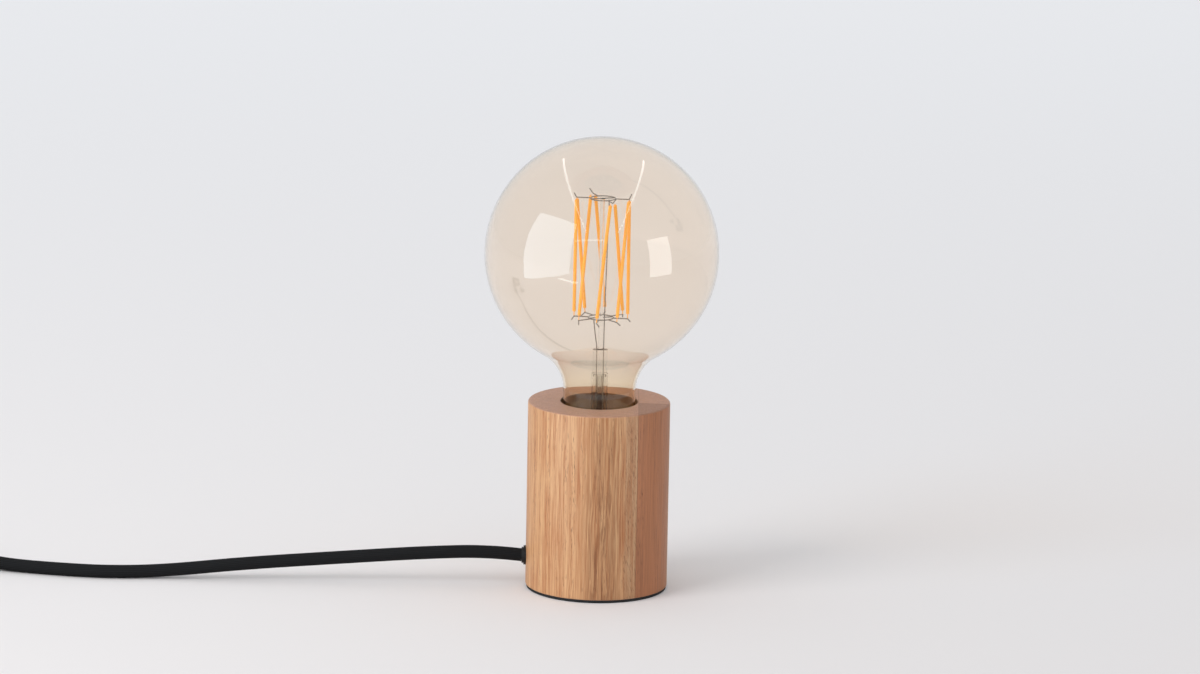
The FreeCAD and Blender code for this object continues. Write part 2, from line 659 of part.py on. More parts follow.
def cap_shell():
    """The screw cap: a thin cup with the thread pressed out of it and a collar for the glass."""
    top = BULB_TIP_Z + CAP_HEIGHT
    shoulder = top - COLLAR_HEIGHT
    core = CAP_MINOR / 2
    low = BULB_TIP_Z + 5.0
    shell = ring(core, core - CAP_WALL, low, shoulder)
    shell = shell.fuse(ring(COLLAR_DIA / 2, core - CAP_WALL, shoulder - 0.5, shoulder + 0.5))
    shell = shell.fuse(ring(COLLAR_DIA / 2, GLASS_FOOT_DIA / 2 + FIT, shoulder, top))
    thread = ridge(CAP_MAJOR / 2 - RIDGE_RADIUS, BULB_TIP_Z + THREAD_START)
    return shell.fuse(thread.cut(cylinder(core - CAP_WALL + 0.1, 0, top)))


def cap_insulator():
    low = BULB_TIP_Z + 1.0
    wide = CAP_MINOR / 2 - CAP_WALL - FIT
    body = Part.makeCone(CONTACT_DIA / 2 + 1.2, CAP_MINOR / 2 - 0.4, 4.0, Vector(0, 0, low))
    body = body.fuse(cylinder(wide, low + 4.0, low + 6.0))
    return body.cut(cylinder(1.5 + FIT, low - 1, low + 7))


def cap_contact():
    low = BULB_TIP_Z
    face = cylinder(CONTACT_DIA / 2, low, low + 1.0)
    face = rounded(face, 0.7, circle_at(low, CONTACT_DIA / 2))
    return face.fuse(cylinder(1.5, low + 1.0, low + 5.0))


def driver_board():
    low = BULB_TIP_Z + 7.2
    return block((-8.5, -0.6, low), (8.5, 0.6, low + 14.0))


def driver_parts():
    low = BULB_TIP_Z + 8.0
    can = cylinder(3.0, low, low + 9.0, -3.5, 3.7)
    chip = block((-6.0, -2.1, low + 4), (-1.0, -0.65, low + 8))
    bridge = block((1.5, -2.6, low + 2), (6.0, -0.65, low + 6.5))
    coil = cylinder(2.2, low + 1, low + 6, 4.2, 2.9)
    return Part.makeCompound([can, chip, bridge, coil])


# ---------------------------------------------------------------- in-line switch
def placed_switch(shape):
    """Move a shape from the switch's own frame, X along the cord, to its place."""
    shape.rotate(Vector(0, 0, 0), Vector(0, 0, 1), SWITCH_ANGLE)
    shape.translate(Vector(SWITCH_CENTRE[0], SWITCH_CENTRE[1], 0))
    return shape


def switch_block(inset, low, high):
    long, wide = SWITCH_SIZE[0] / 2 - inset, SWITCH_SIZE[1] / 2 - inset
    shape = block((-long, -wide, low), (long, wide, high))
    upright = lambda e: abs(e.tangentAt(e.FirstParameter).z) > 0.9
    return rounded(shape, SWITCH_CORNER - inset, upright)


SCREW_PLACES = ((17.0, 9.4), (-17.0, -9.4))
CLAMP_PLACES = tuple((x, y) for x in (-CLAMP_X, CLAMP_X) for y in (-5.8, 5.8))


def switch_cord_hole():
    reach = SWITCH_SIZE[0]
    return rod((-reach, 0, SWITCH_CORD_Z), (reach, 0, SWITCH_CORD_Z), CORD_R + FIT)


def switch_base():
    split = SWITCH_CORD_Z
    base = switch_block(0, 0, split)
    base = rounded(base, 1.2, lambda e: e.BoundBox.ZMax < 0.01)
    base = base.cut(switch_block(SWITCH_WALL, SWITCH_WALL, split + 1))
    for x, y in SCREW_PLACES:
        base = base.fuse(cylinder(2.8, 1, split, x, y))
        base = base.cut(cylinder(1.4, -1, split + 1, x, y))
        base = base.cut(cylinder(2.3, -1, 2.2, x, y))
    for x, y in CLAMP_PLACES:
        base = base.fuse(block((x - 2, y - 1.8, 1), (x + 2, y + 1.8, split - 0.5)))
        base = base.cut(cylinder(0.9, 2, split, x, y))
    base = base.cut(switch_cord_hole())
    return placed_switch(base.removeSplitter())


def switch_top():
    split, high = SWITCH_CORD_Z, SWITCH_SIZE[2]
    top = switch_block(0, split, high)
    top = rounded(top, 2.2, lambda e: e.BoundBox.ZMin > high - 0.01)
    top = top.cut(switch_block(SWITCH_WALL, split - 1, high - SWITCH_WALL))
    long, wide = ROCKER_SIZE[0] / 2 + ROCKER_PLAY, ROCKER_SIZE[1] / 2 + ROCKER_PLAY / 2
    for side in (-1, 1):
        y = side * (wide + 1.2)
        top = top.fuse(block((-3, y - 1.2, ROCKER_PIVOT_Z - 2.5), (3, y + 1.2, high - 1)))
    for x, y in SCREW_PLACES:
        top = top.fuse(cylinder(2.8, split, high - 1, x, y))
        top = top.cut(cylinder(1.1, split - 1, high - 3, x, y))
    top = top.cut(block((-long, -wide, split), (long, wide, high + 1)))
    pivot = rod((0, -wide - 2, ROCKER_PIVOT_Z), (0, wide + 2, ROCKER_PIVOT_Z), PIVOT_DIA / 2 + FIT)
    top = top.cut(pivot)
    return placed_switch(top.cut(switch_cord_hole()).removeSplitter())


def rocker_turned(shape):
    """Tilt a shape of the rocker to its resting side."""
    shape.rotate(Vector(0, 0, ROCKER_PIVOT_Z), Vector(0, 1, 0), ROCKER_TILT)
    return shape


def switch_rocker():
    long, wide, tall = ROCKER_SIZE[0] / 2, ROCKER_SIZE[1] / 2, ROCKER_SIZE[2]
    low = ROCKER_PIVOT_Z - 2.4
    dip = long * math.tan(math.radians(ROCKER_TILT))
    outline = [at(-long, low + 1.6), at(-2.2, low), at(2.2, low), at(long, low + 1.6),
               at(long, low + tall - 2.2 + dip), at(0, low + tall - 2.2), at(-long, low + tall - 2.2 + dip)]
    outline.append(outline[0])
    face = Part.Face(Part.makePolygon(outline))
    face.translate(Vector(0, -wide, 0))
    rocker = face.extrude(Vector(0, 2 * wide, 0))
    reach = wide + ROCKER_PLAY / 2 + 1.9
    stubs = rod((0, -reach, ROCKER_PIVOT_Z), (0, reach, ROCKER_PIVOT_Z), PIVOT_DIA / 2)
    return placed_switch(rocker_turned(rocker.fuse(stubs)))


def rocker_contact():
    low = ROCKER_PIVOT_Z - 2.4
    strip = block((-2.2, -3.0, low - 0.6), (2.2, 3.0, low))
    strip = strip.fuse(block((-1.0, -1.0, low - 1.6), (1.0, 1.0, low - 0.6)))
    return placed_switch(rocker_turned(strip))


def switch_contacts():
    pieces = []
    for side in (-1, 1):
        foot = block((side * 8.0 - 3.5, 1.2, SWITCH_WALL), (side * 8.0 + 3.5, 6.2, 4.4))
        post = block((side * 5.2 - 0.6, 1.2, 4.4), (side * 5.2 + 0.6, 6.2, 7.4))
        pieces.append(foot.fuse(post))
    return placed_switch(Part.makeCompound(pieces))


def clamp_bars():
    low = SWITCH_CORD_Z + 2.2
    bars = []
    for side in (-1, 1):
        x = side * CLAMP_X
        bar = block((x - 2, -7.8, low - 2.4), (x + 2, 7.8, low + 2.6))
        bar = bar.cut(switch_cord_hole())
        for y in (-5.8, 5.8):
            bar = bar.cut(cylinder(1.05, 0, BASE_TOP, x, y))
        bars.append(bar)
    return placed_switch(Part.makeCompound(bars))


def clamp_screws():
    top = SWITCH_CORD_Z + 4.8
    screws = []
    for x, y in CLAMP_PLACES:
        screw = cylinder(0.85, 3.0, top, x, y).fuse(cylinder(1.6, top, top + 1.2, x, y))
        screws.append(screw)
    return placed_switch(Part.makeCompound(screws))


def switch_screws():
    screws = []
    for x, y in SCREW_PLACES:
        screw = cylinder(2.1, 0.6, 2.2, x, y).fuse(cylinder(1.05, 2.2, 13.0, x, y))
        screws.append(screw.cut(block((x - 1.5, y - 0.3, 0), (x + 1.5, y + 0.3, 1.4))))
    return placed_switch(Part.makeCompound(screws))


def switch_live():
    """The cut wire: from each cord end to its contact."""
    pieces = []
    for side in (-1, 1):
        pieces.append(along_route(
            ((side * (CORD_END_X - 0.2), 1.4, SWITCH_CORD_Z), (side * 19.4, 1.5, SWITCH_CORD_Z - 0.1),
             (side * 16.2, 2.6, 6.2), (side * 13.7, 3.5, 3.4), (side * 11.7, 3.6, 3.2)),
            CORE_DIA / 2))
    return placed_switch(Part.makeCompound(pieces))


def switch_neutral():
    """The wire that passes straight through."""
    half = ((CORD_END_X - 0.2, -1.4, SWITCH_CORD_Z), (19.4, -1.5, SWITCH_CORD_Z - 0.1),
            (15.0, -2.8, 6.6), (8.0, -4.0, 4.4), (0.0, -4.3, 4.0))
    other = tuple((-x, y, z) for x, y, z in half[:-1])
    return placed_switch(along_route(other + half[::-1], CORE_DIA / 2))


# ---------------------------------------------------------------- plug
def placed_plug(shape):
    """Move a shape from the plug's own frame, X towards the pins, to its place."""
    shape.rotate(Vector(0, 0, 0), Vector(0, 0, 1), PLUG_TURN)
    shape.translate(Vector(PLUG_START[0], PLUG_START[1], PLUG_AXIS_Z))
    return shape


def plug_relief():
    """A tapered sleeve with grooves, moulded round the cord."""
    sleeve = Part.makeCone(CORD_R + 1.0, CORD_R + 2.0, PLUG_RELIEF, Vector(0, 0, 0), Vector(1, 0, 0))
    for k in range(4):
        x = 4.0 + 4.6 * k
        groove = rod((x, 0, 0), (x + 1.6, 0, 0), 9).cut(rod((x, 0, 0), (x + 1.6, 0, 0), CORD_R + 0.7))
        sleeve = sleeve.cut(groove)
    return placed_plug(sleeve.cut(rod((-1, 0, 0), (PLUG_RELIEF + 1, 0, 0), CORD_R)))


def plug_body():
    half, neck, thick = PLUG_WIDTH / 2, PLUG_NECK / 2, PLUG_THICK / 2
    start, end = PLUG_RELIEF, PLUG_RELIEF + PLUG_LENGTH
    points = [Vector(start, -neck, -thick), Vector(end - 14, -half, -thick), Vector(end, -half, -thick),
              Vector(end, half, -thick), Vector(end - 14, half, -thick), Vector(start, neck, -thick)]
    points.append(points[0])
    body = Part.Face(Part.makePolygon(points)).extrude(Vector(0, 0, PLUG_THICK))
    body = rounded(body, 4.0, lambda e: abs(e.tangentAt(e.FirstParameter).z) > 0.9)
    flat = lambda e: e.BoundBox.ZLength < 1e-6 and abs(abs(e.BoundBox.ZMax) - thick) < 1e-6
    body = rounded(body, 2.6, flat)
    for side in (-1, 1):
        y = side * PIN_SPACING / 2
        body = body.cut(rod((end - 12, y, 0), (end + 1, y, 0), 1.5))
    return placed_plug(body)


def plug_pins():
    end = PLUG_RELIEF + PLUG_LENGTH
    pins = []
    for side in (-1, 1):
        y = side * PIN_SPACING / 2
        tip = rod((end + SLEEVE_LENGTH, y, 0), (end + PIN_LENGTH, y, 0), PIN_DIA / 2)
        tip = rounded(tip, 1.0, lambda e: e.BoundBox.XMin > end + PIN_LENGTH - 0.01)
        pins.append(tip.fuse(rod((end - 12, y, 0), (end + SLEEVE_LENGTH, y, 0), 1.5)))
    return placed_plug(Part.makeCompound(pins))


def plug_sleeves():
    end = PLUG_RELIEF + PLUG_LENGTH
    sleeves = []
    for side in (-1, 1):
        y = side * PIN_SPACING / 2
        sleeve = rod((end, y, 0), (end + SLEEVE_LENGTH, y, 0), SLEEVE_DIA / 2)
        sleeves.append(sleeve.cut(rod((end - 1, y, 0), (end + PIN_LENGTH, y, 0), 1.5)))
    return placed_plug(Part.makeCompound(sleeves))


# ---------------------------------------------------------------- cord
def coil_section():
    """Inner and outer radius and height of the wound coil."""
    return COIL_OUTER - CORD_DIA - CORD_R, COIL_OUTER + CORD_R, COIL_LAYERS * CORD_DIA


def cord_coil():
    inner, outer, tall = coil_section()
    return ring(outer, inner, TIE_THICK, TIE_THICK + tall, COIL_CENTRE[0], COIL_CENTRE[1])


def cord_tie():
    """A strap round the coil's turns."""
    inner, outer, tall = coil_section()
    half = TIE_WIDTH / 2
    near = math.sqrt(inner**2 - half**2) - TIE_PLAY
    far = outer + TIE_PLAY
    high = TIE_THICK + tall + TIE_PLAY
    strap = block((near - TIE_THICK, -half, 0), (far + TIE_THICK, half, high + TIE_THICK))
    strap = rounded(strap, TIE_CORNER, lambda e: abs(e.tangentAt(e.FirstParameter).y) > 0.9)
    strap = strap.cut(block((near, -half - 1, TIE_THICK), (far, half + 1, high)))
    strap.rotate(Vector(0, 0, 0), Vector(0, 0, 1), TIE_ANGLE)
    strap.translate(Vector(COIL_CENTRE[0], COIL_CENTRE[1], 0))
    return strap


def save(name, shape):
    shape.exportStep(os.path.join("parts", name + ".step"))
    kinds = [s.isValid() for s in shape.Solids]
    if not kinds or not all(kinds):
        print("CHECK", name, len(kinds), kinds)


def main():
    os.makedirs("parts", exist_ok=True)
    to_low, to_top = low_wires()
    pieces = {
        "foot_pad": foot_pad(), "wood_body": wood_body(), "bottom_cover": bottom_cover(),
        "cover_screws": cover_screws(), "cord_bushing": cord_bushing(), "bushing_nut": bushing_nut(),
        "cord_stop": cord_stop(), "stop_screw": stop_screw(), "cord_inner": cord_inner(),
        "wire_live": supply_wire(1), "wire_neutral": supply_wire(-1),
        "nipple": nipple(), "nipple_washer": nipple_washer(), "nipple_nut": nipple_nut(),
        "holder_dome": holder_dome(), "holder_insert": holder_insert(),
        "centre_contact": centre_contact(), "side_contact": side_contact(),
        "terminal_screws": terminal_screws(), "holder_skirt": holder_skirt(),
        "holder_shell": holder_shell(),
        "globe": globe(), "stem": stem(),
        "support_rod": support_rod(), "lower_wire": to_low, "upper_wire": to_top,
        "upper_spider": upper_spider(), "lower_spider": lower_spider(),
        "cap_shell": cap_shell(), "cap_insulator": cap_insulator(), "cap_contact": cap_contact(),
        "driver_board": driver_board(), "driver_parts": driver_parts(),
        "switch_base": switch_base(), "switch_top": switch_top(), "switch_rocker": switch_rocker(),
        "rocker_contact": rocker_contact(),
        "switch_contacts": switch_contacts(), "clamp_bars": clamp_bars(),
        "clamp_screws": clamp_screws(), "switch_screws": switch_screws(),
        "switch_live": switch_live(), "switch_neutral": switch_neutral(),
        "plug_body": plug_body(), "plug_relief": plug_relief(), "plug_pins": plug_pins(),
        "plug_sleeves": plug_sleeves(),
        "cord_lead": along_route(LEAD_ROUTE, CORD_R, "lead"),
        "cord_tail": along_route(TAIL_ROUTE, CORD_R, "tail"),
        "cord_coil": cord_coil(), "cord_tie": cord_tie(),
        "cord_end": along_route(END_ROUTE, CORD_R, "end"),
    }
    for number in range(len(FILAMENTS)):
        pieces["filament_%d" % (number + 1)] = filament(number)
    for name, shape in pieces.items():
        save(name, shape)
    print(len(pieces), "nodes")


main()
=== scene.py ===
import json
import math

import bmesh
import bpy
from mathutils import Matrix, Quaternion, Vector

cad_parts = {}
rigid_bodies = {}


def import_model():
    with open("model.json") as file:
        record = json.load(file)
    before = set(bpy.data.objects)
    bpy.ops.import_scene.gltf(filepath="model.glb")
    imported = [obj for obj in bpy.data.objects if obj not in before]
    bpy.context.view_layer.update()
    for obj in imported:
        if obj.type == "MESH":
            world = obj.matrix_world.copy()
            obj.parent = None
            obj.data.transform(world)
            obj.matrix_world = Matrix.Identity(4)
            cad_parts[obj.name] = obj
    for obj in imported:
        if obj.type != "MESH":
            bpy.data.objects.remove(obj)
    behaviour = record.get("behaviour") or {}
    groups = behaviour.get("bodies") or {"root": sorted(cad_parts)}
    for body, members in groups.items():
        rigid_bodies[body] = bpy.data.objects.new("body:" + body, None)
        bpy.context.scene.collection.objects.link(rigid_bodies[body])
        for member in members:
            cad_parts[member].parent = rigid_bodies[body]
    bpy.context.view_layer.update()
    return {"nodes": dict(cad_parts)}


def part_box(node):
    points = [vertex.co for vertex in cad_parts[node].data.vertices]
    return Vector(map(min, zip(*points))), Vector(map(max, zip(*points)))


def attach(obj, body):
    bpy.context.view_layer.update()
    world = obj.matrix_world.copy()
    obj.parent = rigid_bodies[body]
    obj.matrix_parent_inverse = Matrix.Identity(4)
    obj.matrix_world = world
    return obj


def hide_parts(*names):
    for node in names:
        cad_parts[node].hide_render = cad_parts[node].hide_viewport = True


bl_info = {
    "name": "Globe Bulb Table Lamp",
    "version": (1, 0, 0),
    "blender": (4, 5, 0),
    "location": "3D View > Sidebar > Bulb Lamp",
    "description": "Builds the looks of a turned wooden table lamp with a large clear globe bulb",
    "category": "Object",
}

# Metres, +Z up.  The lamp's axis is Z, its foot stands on Z = 0, and the cord leaves towards -X.
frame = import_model()
NODES = frame["nodes"]

WOOD_LOW, WOOD_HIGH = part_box("wood_body")
GLOBE_LOW, GLOBE_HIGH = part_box("globe")
COIL_LOW, COIL_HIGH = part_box("cord_coil")
CORD_LOW, CORD_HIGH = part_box("cord_inner")
CORD_DIAMETER = CORD_HIGH.z - CORD_LOW.z
COIL_CENTRE = (COIL_LOW + COIL_HIGH) / 2
GLOBE_RADIUS = (GLOBE_HIGH.x - GLOBE_LOW.x) / 2
GLOBE_CENTRE = Vector((0.0, 0.0, GLOBE_HIGH.z - GLOBE_RADIUS))

# Lamp to switch, the same points as the construction's.
LEAD_ROUTE = (
    (-0.0400, 0.0, 0.0164), (-0.058, 0.0002, 0.0182), (-0.092, -0.0004, 0.0169),
    (-0.142, 0.0005, 0.0127), (-0.190, -0.0006, 0.0090), (-0.232, 0.0004, 0.0039),
    (-0.262, -0.0026, 0.0035), (-0.290, 0.0018, 0.0035), (-0.3155, 0.0084, 0.0035),
    (-0.3323, 0.0131, 0.0053), (-0.349, 0.0177, 0.0085), (-0.3654, 0.0221, 0.0085),
)
# Switch to coil.
TAIL_ROUTE = (
    (-0.408, 0.0335, 0.0085), (-0.4244, 0.0379, 0.0085), (-0.4412, 0.0428, 0.0055),
    (-0.457, 0.0469, 0.0045), (-0.4708, 0.0504, 0.0045),
)
# Coil to plug.
END_ROUTE = (
    (-0.476, -0.0324, 0.0115), (-0.465, -0.0324, 0.0113), (-0.451, -0.0328, 0.0084),
    (-0.437, -0.0339, 0.00695), (-0.423, -0.0351, 0.00685), (-0.411, -0.0361, 0.00685),
    (-0.4002, -0.03708, 0.00685),
)
# The coil's turns in winding order: radius and height of each turn's middle.
COIL_TURNS = (
    (0.042, 0.0045), (0.035, 0.0045), (0.035, 0.0115),
    (0.035, 0.0185), (0.042, 0.0185), (0.042, 0.0115),
)
COIL_START = 76.0          # degrees, where the first turn begins
COIL_END = 2070.0          # degrees, where the last turn leaves towards the plug
COIL_SHIFT_AT = 378.0      # degrees at which the cord climbs from the first turn to the second
COIL_SHIFT_EVERY = 338.0   # later climbs come a little before each full turn
COIL_SHIFT_LENGTH = 22.0
COIL_POINT_STEP = 22.0     # a little over 16 points to a turn

WIRE_NODES = ("lower_wire", "upper_wire", "upper_spider", "lower_spider")
FILAMENT_COUNT = 8

# The wood's hidden side, and the ring under it.
BORE_RADIUS = 0.0045       # hole that takes the cord's bushing
BORE_HEIGHT = 0.0164
DRILL_X = -0.031           # middle of the drilled length, in the wall
DRILL_LENGTH = 0.02
WEB_LOW = 0.026            # underside of the web between the well and the wiring cavity
CAVITY_RADIUS = 0.025
COVER_SEAT = 0.0035
COVER_RECESS_RADIUS = 0.0313
NIPPLE_HOLE_RADIUS = 0.00525
SLIGHT_EDGE = 0.6          # how round the less eased edges are, as a share of the top edge
FOOT_RING_BORE = 0.032     # inner radius
FOOT_RING_EDGE = 0.0003

# The glass below its neck.
GLASS_FOOT_RADIUS = 0.0129
GLASS_FOOT_HEIGHT = 0.088
NECK_FOOT_HEIGHT = 0.100
GLASS_END_HEIGHT = 0.0841

# How finely the turned outlines are divided.
WOOD_STEPS, RING_STEPS, GLOBE_STEPS = 192, 160, 256
BEND_POINTS, BLEND_POINTS, SPHERE_POINTS = 8, 20, 90


# ---------------------------------------------------------------- what a user would change
class LampSizes(bpy.types.PropertyGroup):
    """Sizes of the lamp's visible pieces."""

    wood_diameter: bpy.props.FloatProperty(
        name="Wood diameter", description="Width of the turned wooden cylinder",
        default=WOOD_HIGH.x - WOOD_LOW.x, unit="LENGTH")
    wood_edge: bpy.props.FloatProperty(
        name="Wood edge", description="Radius of the eased top edge",
        default=0.001, unit="LENGTH")
    well_diameter: bpy.props.FloatProperty(
        name="Well diameter", description="Width of the well that holds the lampholder",
        default=0.041, unit="LENGTH")
    well_floor: bpy.props.FloatProperty(
        name="Well floor", description="Height of the well's floor above the table",
        default=0.036, unit="LENGTH")
    globe_diameter: bpy.props.FloatProperty(
        name="Globe diameter", description="Width of the glass globe",
        default=2 * GLOBE_RADIUS, unit="LENGTH")
    neck_diameter: bpy.props.FloatProperty(
        name="Neck diameter", description="Width of the glass neck",
        default=0.0386, unit="LENGTH")
    neck_blend: bpy.props.FloatProperty(
        name="Neck blend", description="Concave radius between the globe and its neck",
        default=0.024, unit="LENGTH")
    glass_wall: bpy.props.FloatProperty(
        name="Glass wall", description="Thickness of the globe's glass",
        default=0.0008, unit="LENGTH")


class LampColours(bpy.types.PropertyGroup):
    """Colours of the lamp's finishes."""

    oak: bpy.props.FloatVectorProperty(
        name="Oak", description="Light boards of the wooden cylinder", size=3,
        default=(0.855, 0.675, 0.492), min=0, max=1, subtype="COLOR_GAMMA")
    oak_grain: bpy.props.FloatVectorProperty(
        name="Oak grain", description="Darker grain lines in the boards", size=3,
        default=(0.660, 0.395, 0.210), min=0, max=1, subtype="COLOR_GAMMA")
    oak_red: bpy.props.FloatVectorProperty(
        name="Red board", description="The redder board at the right", size=3,
        default=(0.690, 0.440, 0.280), min=0, max=1, subtype="COLOR_GAMMA")
    oak_end: bpy.props.FloatVectorProperty(
        name="End grain", description="End grain on the top and in the underside", size=3,
        default=(0.735, 0.560, 0.475), min=0, max=1, subtype="COLOR_GAMMA")
    glass: bpy.props.FloatVectorProperty(
        name="Globe glass", description="Amber tint of the globe", size=3,
        default=(0.994, 0.962, 0.925), min=0, max=1, subtype="COLOR_GAMMA")
    filament: bpy.props.FloatVectorProperty(
        name="Filament", description="Silicone coat of the filaments", size=3,
        default=(1.0, 0.72, 0.17), min=0, max=1, subtype="COLOR_GAMMA")
    cord: bpy.props.FloatVectorProperty(
        name="Cord", description="Braid of the cord", size=3,
        default=(0.125, 0.125, 0.130), min=0, max=1, subtype="COLOR_GAMMA")


def sizes():
    return bpy.context.scene.lamp_sizes


def linear(colour):
    """A screen colour as the renderer's own linear one."""
    shares = [c / 12.92 if c <= 0.04045 else ((c + 0.055) / 1.055) ** 2.4 for c in colour]
    return (*shares, 1.0)


def tint(name):
    return linear(getattr(bpy.context.scene.lamp_colours, name))


def scaled(colour, shares):
    """A linear colour with each of its channels at a share of its own."""
    return tuple(channel * share for channel, share in zip(colour, shares)) + (1.0,)


def darker(colour, share):
    """A linear colour at a share of its brightness."""
    return scaled(colour, (share, share, share))


# ---------------------------------------------------------------- shader helpers
LOOK = "_look"             # sets these materials apart from the frame's plain ones


class Finish:
    """Builds one material node by node, and is shared by every piece with that finish."""

    def __init__(self, name):
        self.material = bpy.data.materials.new(name + LOOK)
        self.material.use_nodes = True
        self.tree = self.material.node_tree
        self.tree.nodes.clear()
        self.output = self.tree.nodes.new("ShaderNodeOutputMaterial")
        self.places = self.tree.nodes.new("ShaderNodeTexCoord")

    def node(self, kind, *inputs, **settings):
        """A node with its inputs set in order, and its settings by name."""
        made = self.tree.nodes.new("ShaderNode" + kind)
        for name, value in settings.items():
            setattr(made, name, value)
        for socket, value in zip(made.inputs, inputs):
            self.feed(socket, value)
        return made

    def feed(self, socket, value):
        if value is None:
            return
        if isinstance(value, bpy.types.NodeSocket):
            self.tree.links.new(value, socket)
        else:
            socket.default_value = value

    def maths(self, operation, first, second=None):
        return self.node("Math", first, second, operation=operation).outputs[0]

    def plus(self, first, second):
        return self.maths("ADD", first, second)

    def minus(self, first, second):
        return self.maths("SUBTRACT", first, second)

    def times(self, first, second):
        return self.maths("MULTIPLY", first, second)

    def objects(self):
        return self.places.outputs["Object"]

    def uv(self):
        return self.places.outputs["UV"]

    def apart(self, vector):
        split = self.node("SeparateXYZ", vector)
        return split.outputs[0], split.outputs[1], split.outputs[2]

    def joined(self, x, y, z):
        return self.node("CombineXYZ", x, y, z).outputs[0]

    def stretched(self, scale, offset=(0, 0, 0)):
        """Coordinates with one scale for each axis."""
        return self.node("Mapping", self.objects(), offset, (0, 0, 0), scale).outputs[0]

    def noise(self, vector, scale, detail=3.0, roughness=0.5, distortion=0.0):
        made = self.node("TexNoise")
        self.feed(made.inputs["Vector"], vector)
        made.inputs["Scale"].default_value = scale
        made.inputs["Detail"].default_value = detail
        made.inputs["Roughness"].default_value = roughness
        made.inputs["Distortion"].default_value = distortion
        return made.outputs[0]

    def between(self, value, low, high, to_low=0.0, to_high=1.0):
        """A value stretched from one span to another, and held inside it."""
        return self.node("MapRange", value, low, high, to_low, to_high).outputs[0]

    def mixed(self, share, first, second):
        """Two colours mixed by a share from 0 to 1."""
        made = self.tree.nodes.new("ShaderNodeMix")
        made.data_type = "RGBA"
        self.feed(made.inputs[0], share)
        self.feed(made.inputs[6], first)
        self.feed(made.inputs[7], second)
        return made.outputs[2]

    def bump(self, height, distance, strength=1.0):
        made = self.node("Bump")
        made.inputs["Strength"].default_value = strength
        made.inputs["Distance"].default_value = distance
        self.feed(made.inputs["Height"], height)
        return made.outputs[0]

    def principled(self, **sockets):
        """The shader, with sockets given by name and underscores for spaces."""
        shader = self.tree.nodes.new("ShaderNodeBsdfPrincipled")
        for name, value in sockets.items():
            self.feed(shader.inputs[name.replace("_", " ")], value)
        return shader

    def done(self, shader):
        self.tree.links.new(shader.outputs[0], self.output.inputs["Surface"])
        return self.material


# ---------------------------------------------------------------- mesh helpers
def linked(name, data, material=None):
    """A new object at the origin, with its place in its data."""
    piece = bpy.data.objects.new(name, data)
    bpy.context.scene.collection.objects.link(piece)
    if material is not None:
        data.materials.append(material)
    return piece


def meshed(bm, name, material=None, sharp_angle=math.radians(35)):
    """Turns a bmesh into an object, smooth but for its sharp edges."""
    for face in bm.faces:
        face.smooth = True
    for edge in bm.edges:
        edge.smooth = len(edge.link_faces) == 2 and edge.calc_face_angle(0.0) < sharp_angle
    mesh = bpy.data.meshes.new(name)
    bm.to_mesh(mesh)
    bm.free()
    return linked(name, mesh, material)


def settled(piece, body, slot, *nodes):
    """Lets a piece ride on a body and stand for its nodes."""
    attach(piece, body)
    if nodes:
        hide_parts(*nodes)
    return piece


def merged_copy(node, name, material, body, slot):
    """A CAD node's shape with its loose triangles joined, so that it shades smoothly."""
    bm = bmesh.new()
    bm.from_mesh(NODES[node].data)
    bmesh.ops.remove_doubles(bm, verts=bm.verts, dist=2e-6)
    return settled(meshed(bm, name, material), body, slot, node)


def arc_points(centre, radius, start, end, count):
    """Points (radius, height) along an arc, with its angles in radians."""
    turns = [start + (end - start) * k / (count - 1) for k in range(count)]
    return [(centre[0] + radius * math.cos(t), centre[1] + radius * math.sin(t)) for t in turns]


def lathe(outline, name, material, steps):
    """Spins a closed outline of (radius, height) points about Z."""
    bm = bmesh.new()
    verts = [bm.verts.new((r, 0.0, z)) for r, z in outline]
    edges = [bm.edges.new(pair) for pair in zip(verts, verts[1:])]
    edges.append(bm.edges.new((verts[-1], verts[0])))
    bmesh.ops.spin(bm, geom=verts + edges, cent=(0, 0, 0), axis=(0, 0, 1),
                   angle=2 * math.pi, steps=steps, use_merge=True)
    bmesh.ops.remove_doubles(bm, verts=bm.verts, dist=1e-6)
    bmesh.ops.recalc_face_normals(bm, faces=bm.faces)
    return meshed(bm, name, material)


def eased(points, radii, count):
    """An outline with its corners rounded; a radius of 0 keeps a corner sharp."""
    outline = []
    for k, (corner, radius) in enumerate(zip(points, radii)):
        if not radius:
            outline.append(corner)
            continue
        here = Vector(corner)
        back = (Vector(points[k - 1]) - here).normalized()
        ahead = (Vector(points[(k + 1) % len(points)]) - here).normalized()
        half = back.angle(ahead) / 2
        reach = radius / math.tan(half)
        centre = here + (back + ahead).normalized() * (radius / math.sin(half))
        first = (here + back * reach) - centre
        last = (here + ahead * reach) - centre
        start = math.atan2(first.y, first.x)
        sweep = math.remainder(math.atan2(last.y, last.x) - start, 2 * math.pi)
        outline += arc_points(centre, radius, start, start + sweep, count)
    return outline


# ---------------------------------------------------------------- finishes
BRAID_COLUMNS = 22.0       # columns of threads round the cord
BRAID_PITCH = 0.0011       # from thread to thread along a column
CHIP_PITCH = 0.0014        # from chip to chip along a filament
STRAP_PITCH = 0.0009
STRAP_COLOUR = (0.09, 0.09, 0.09)

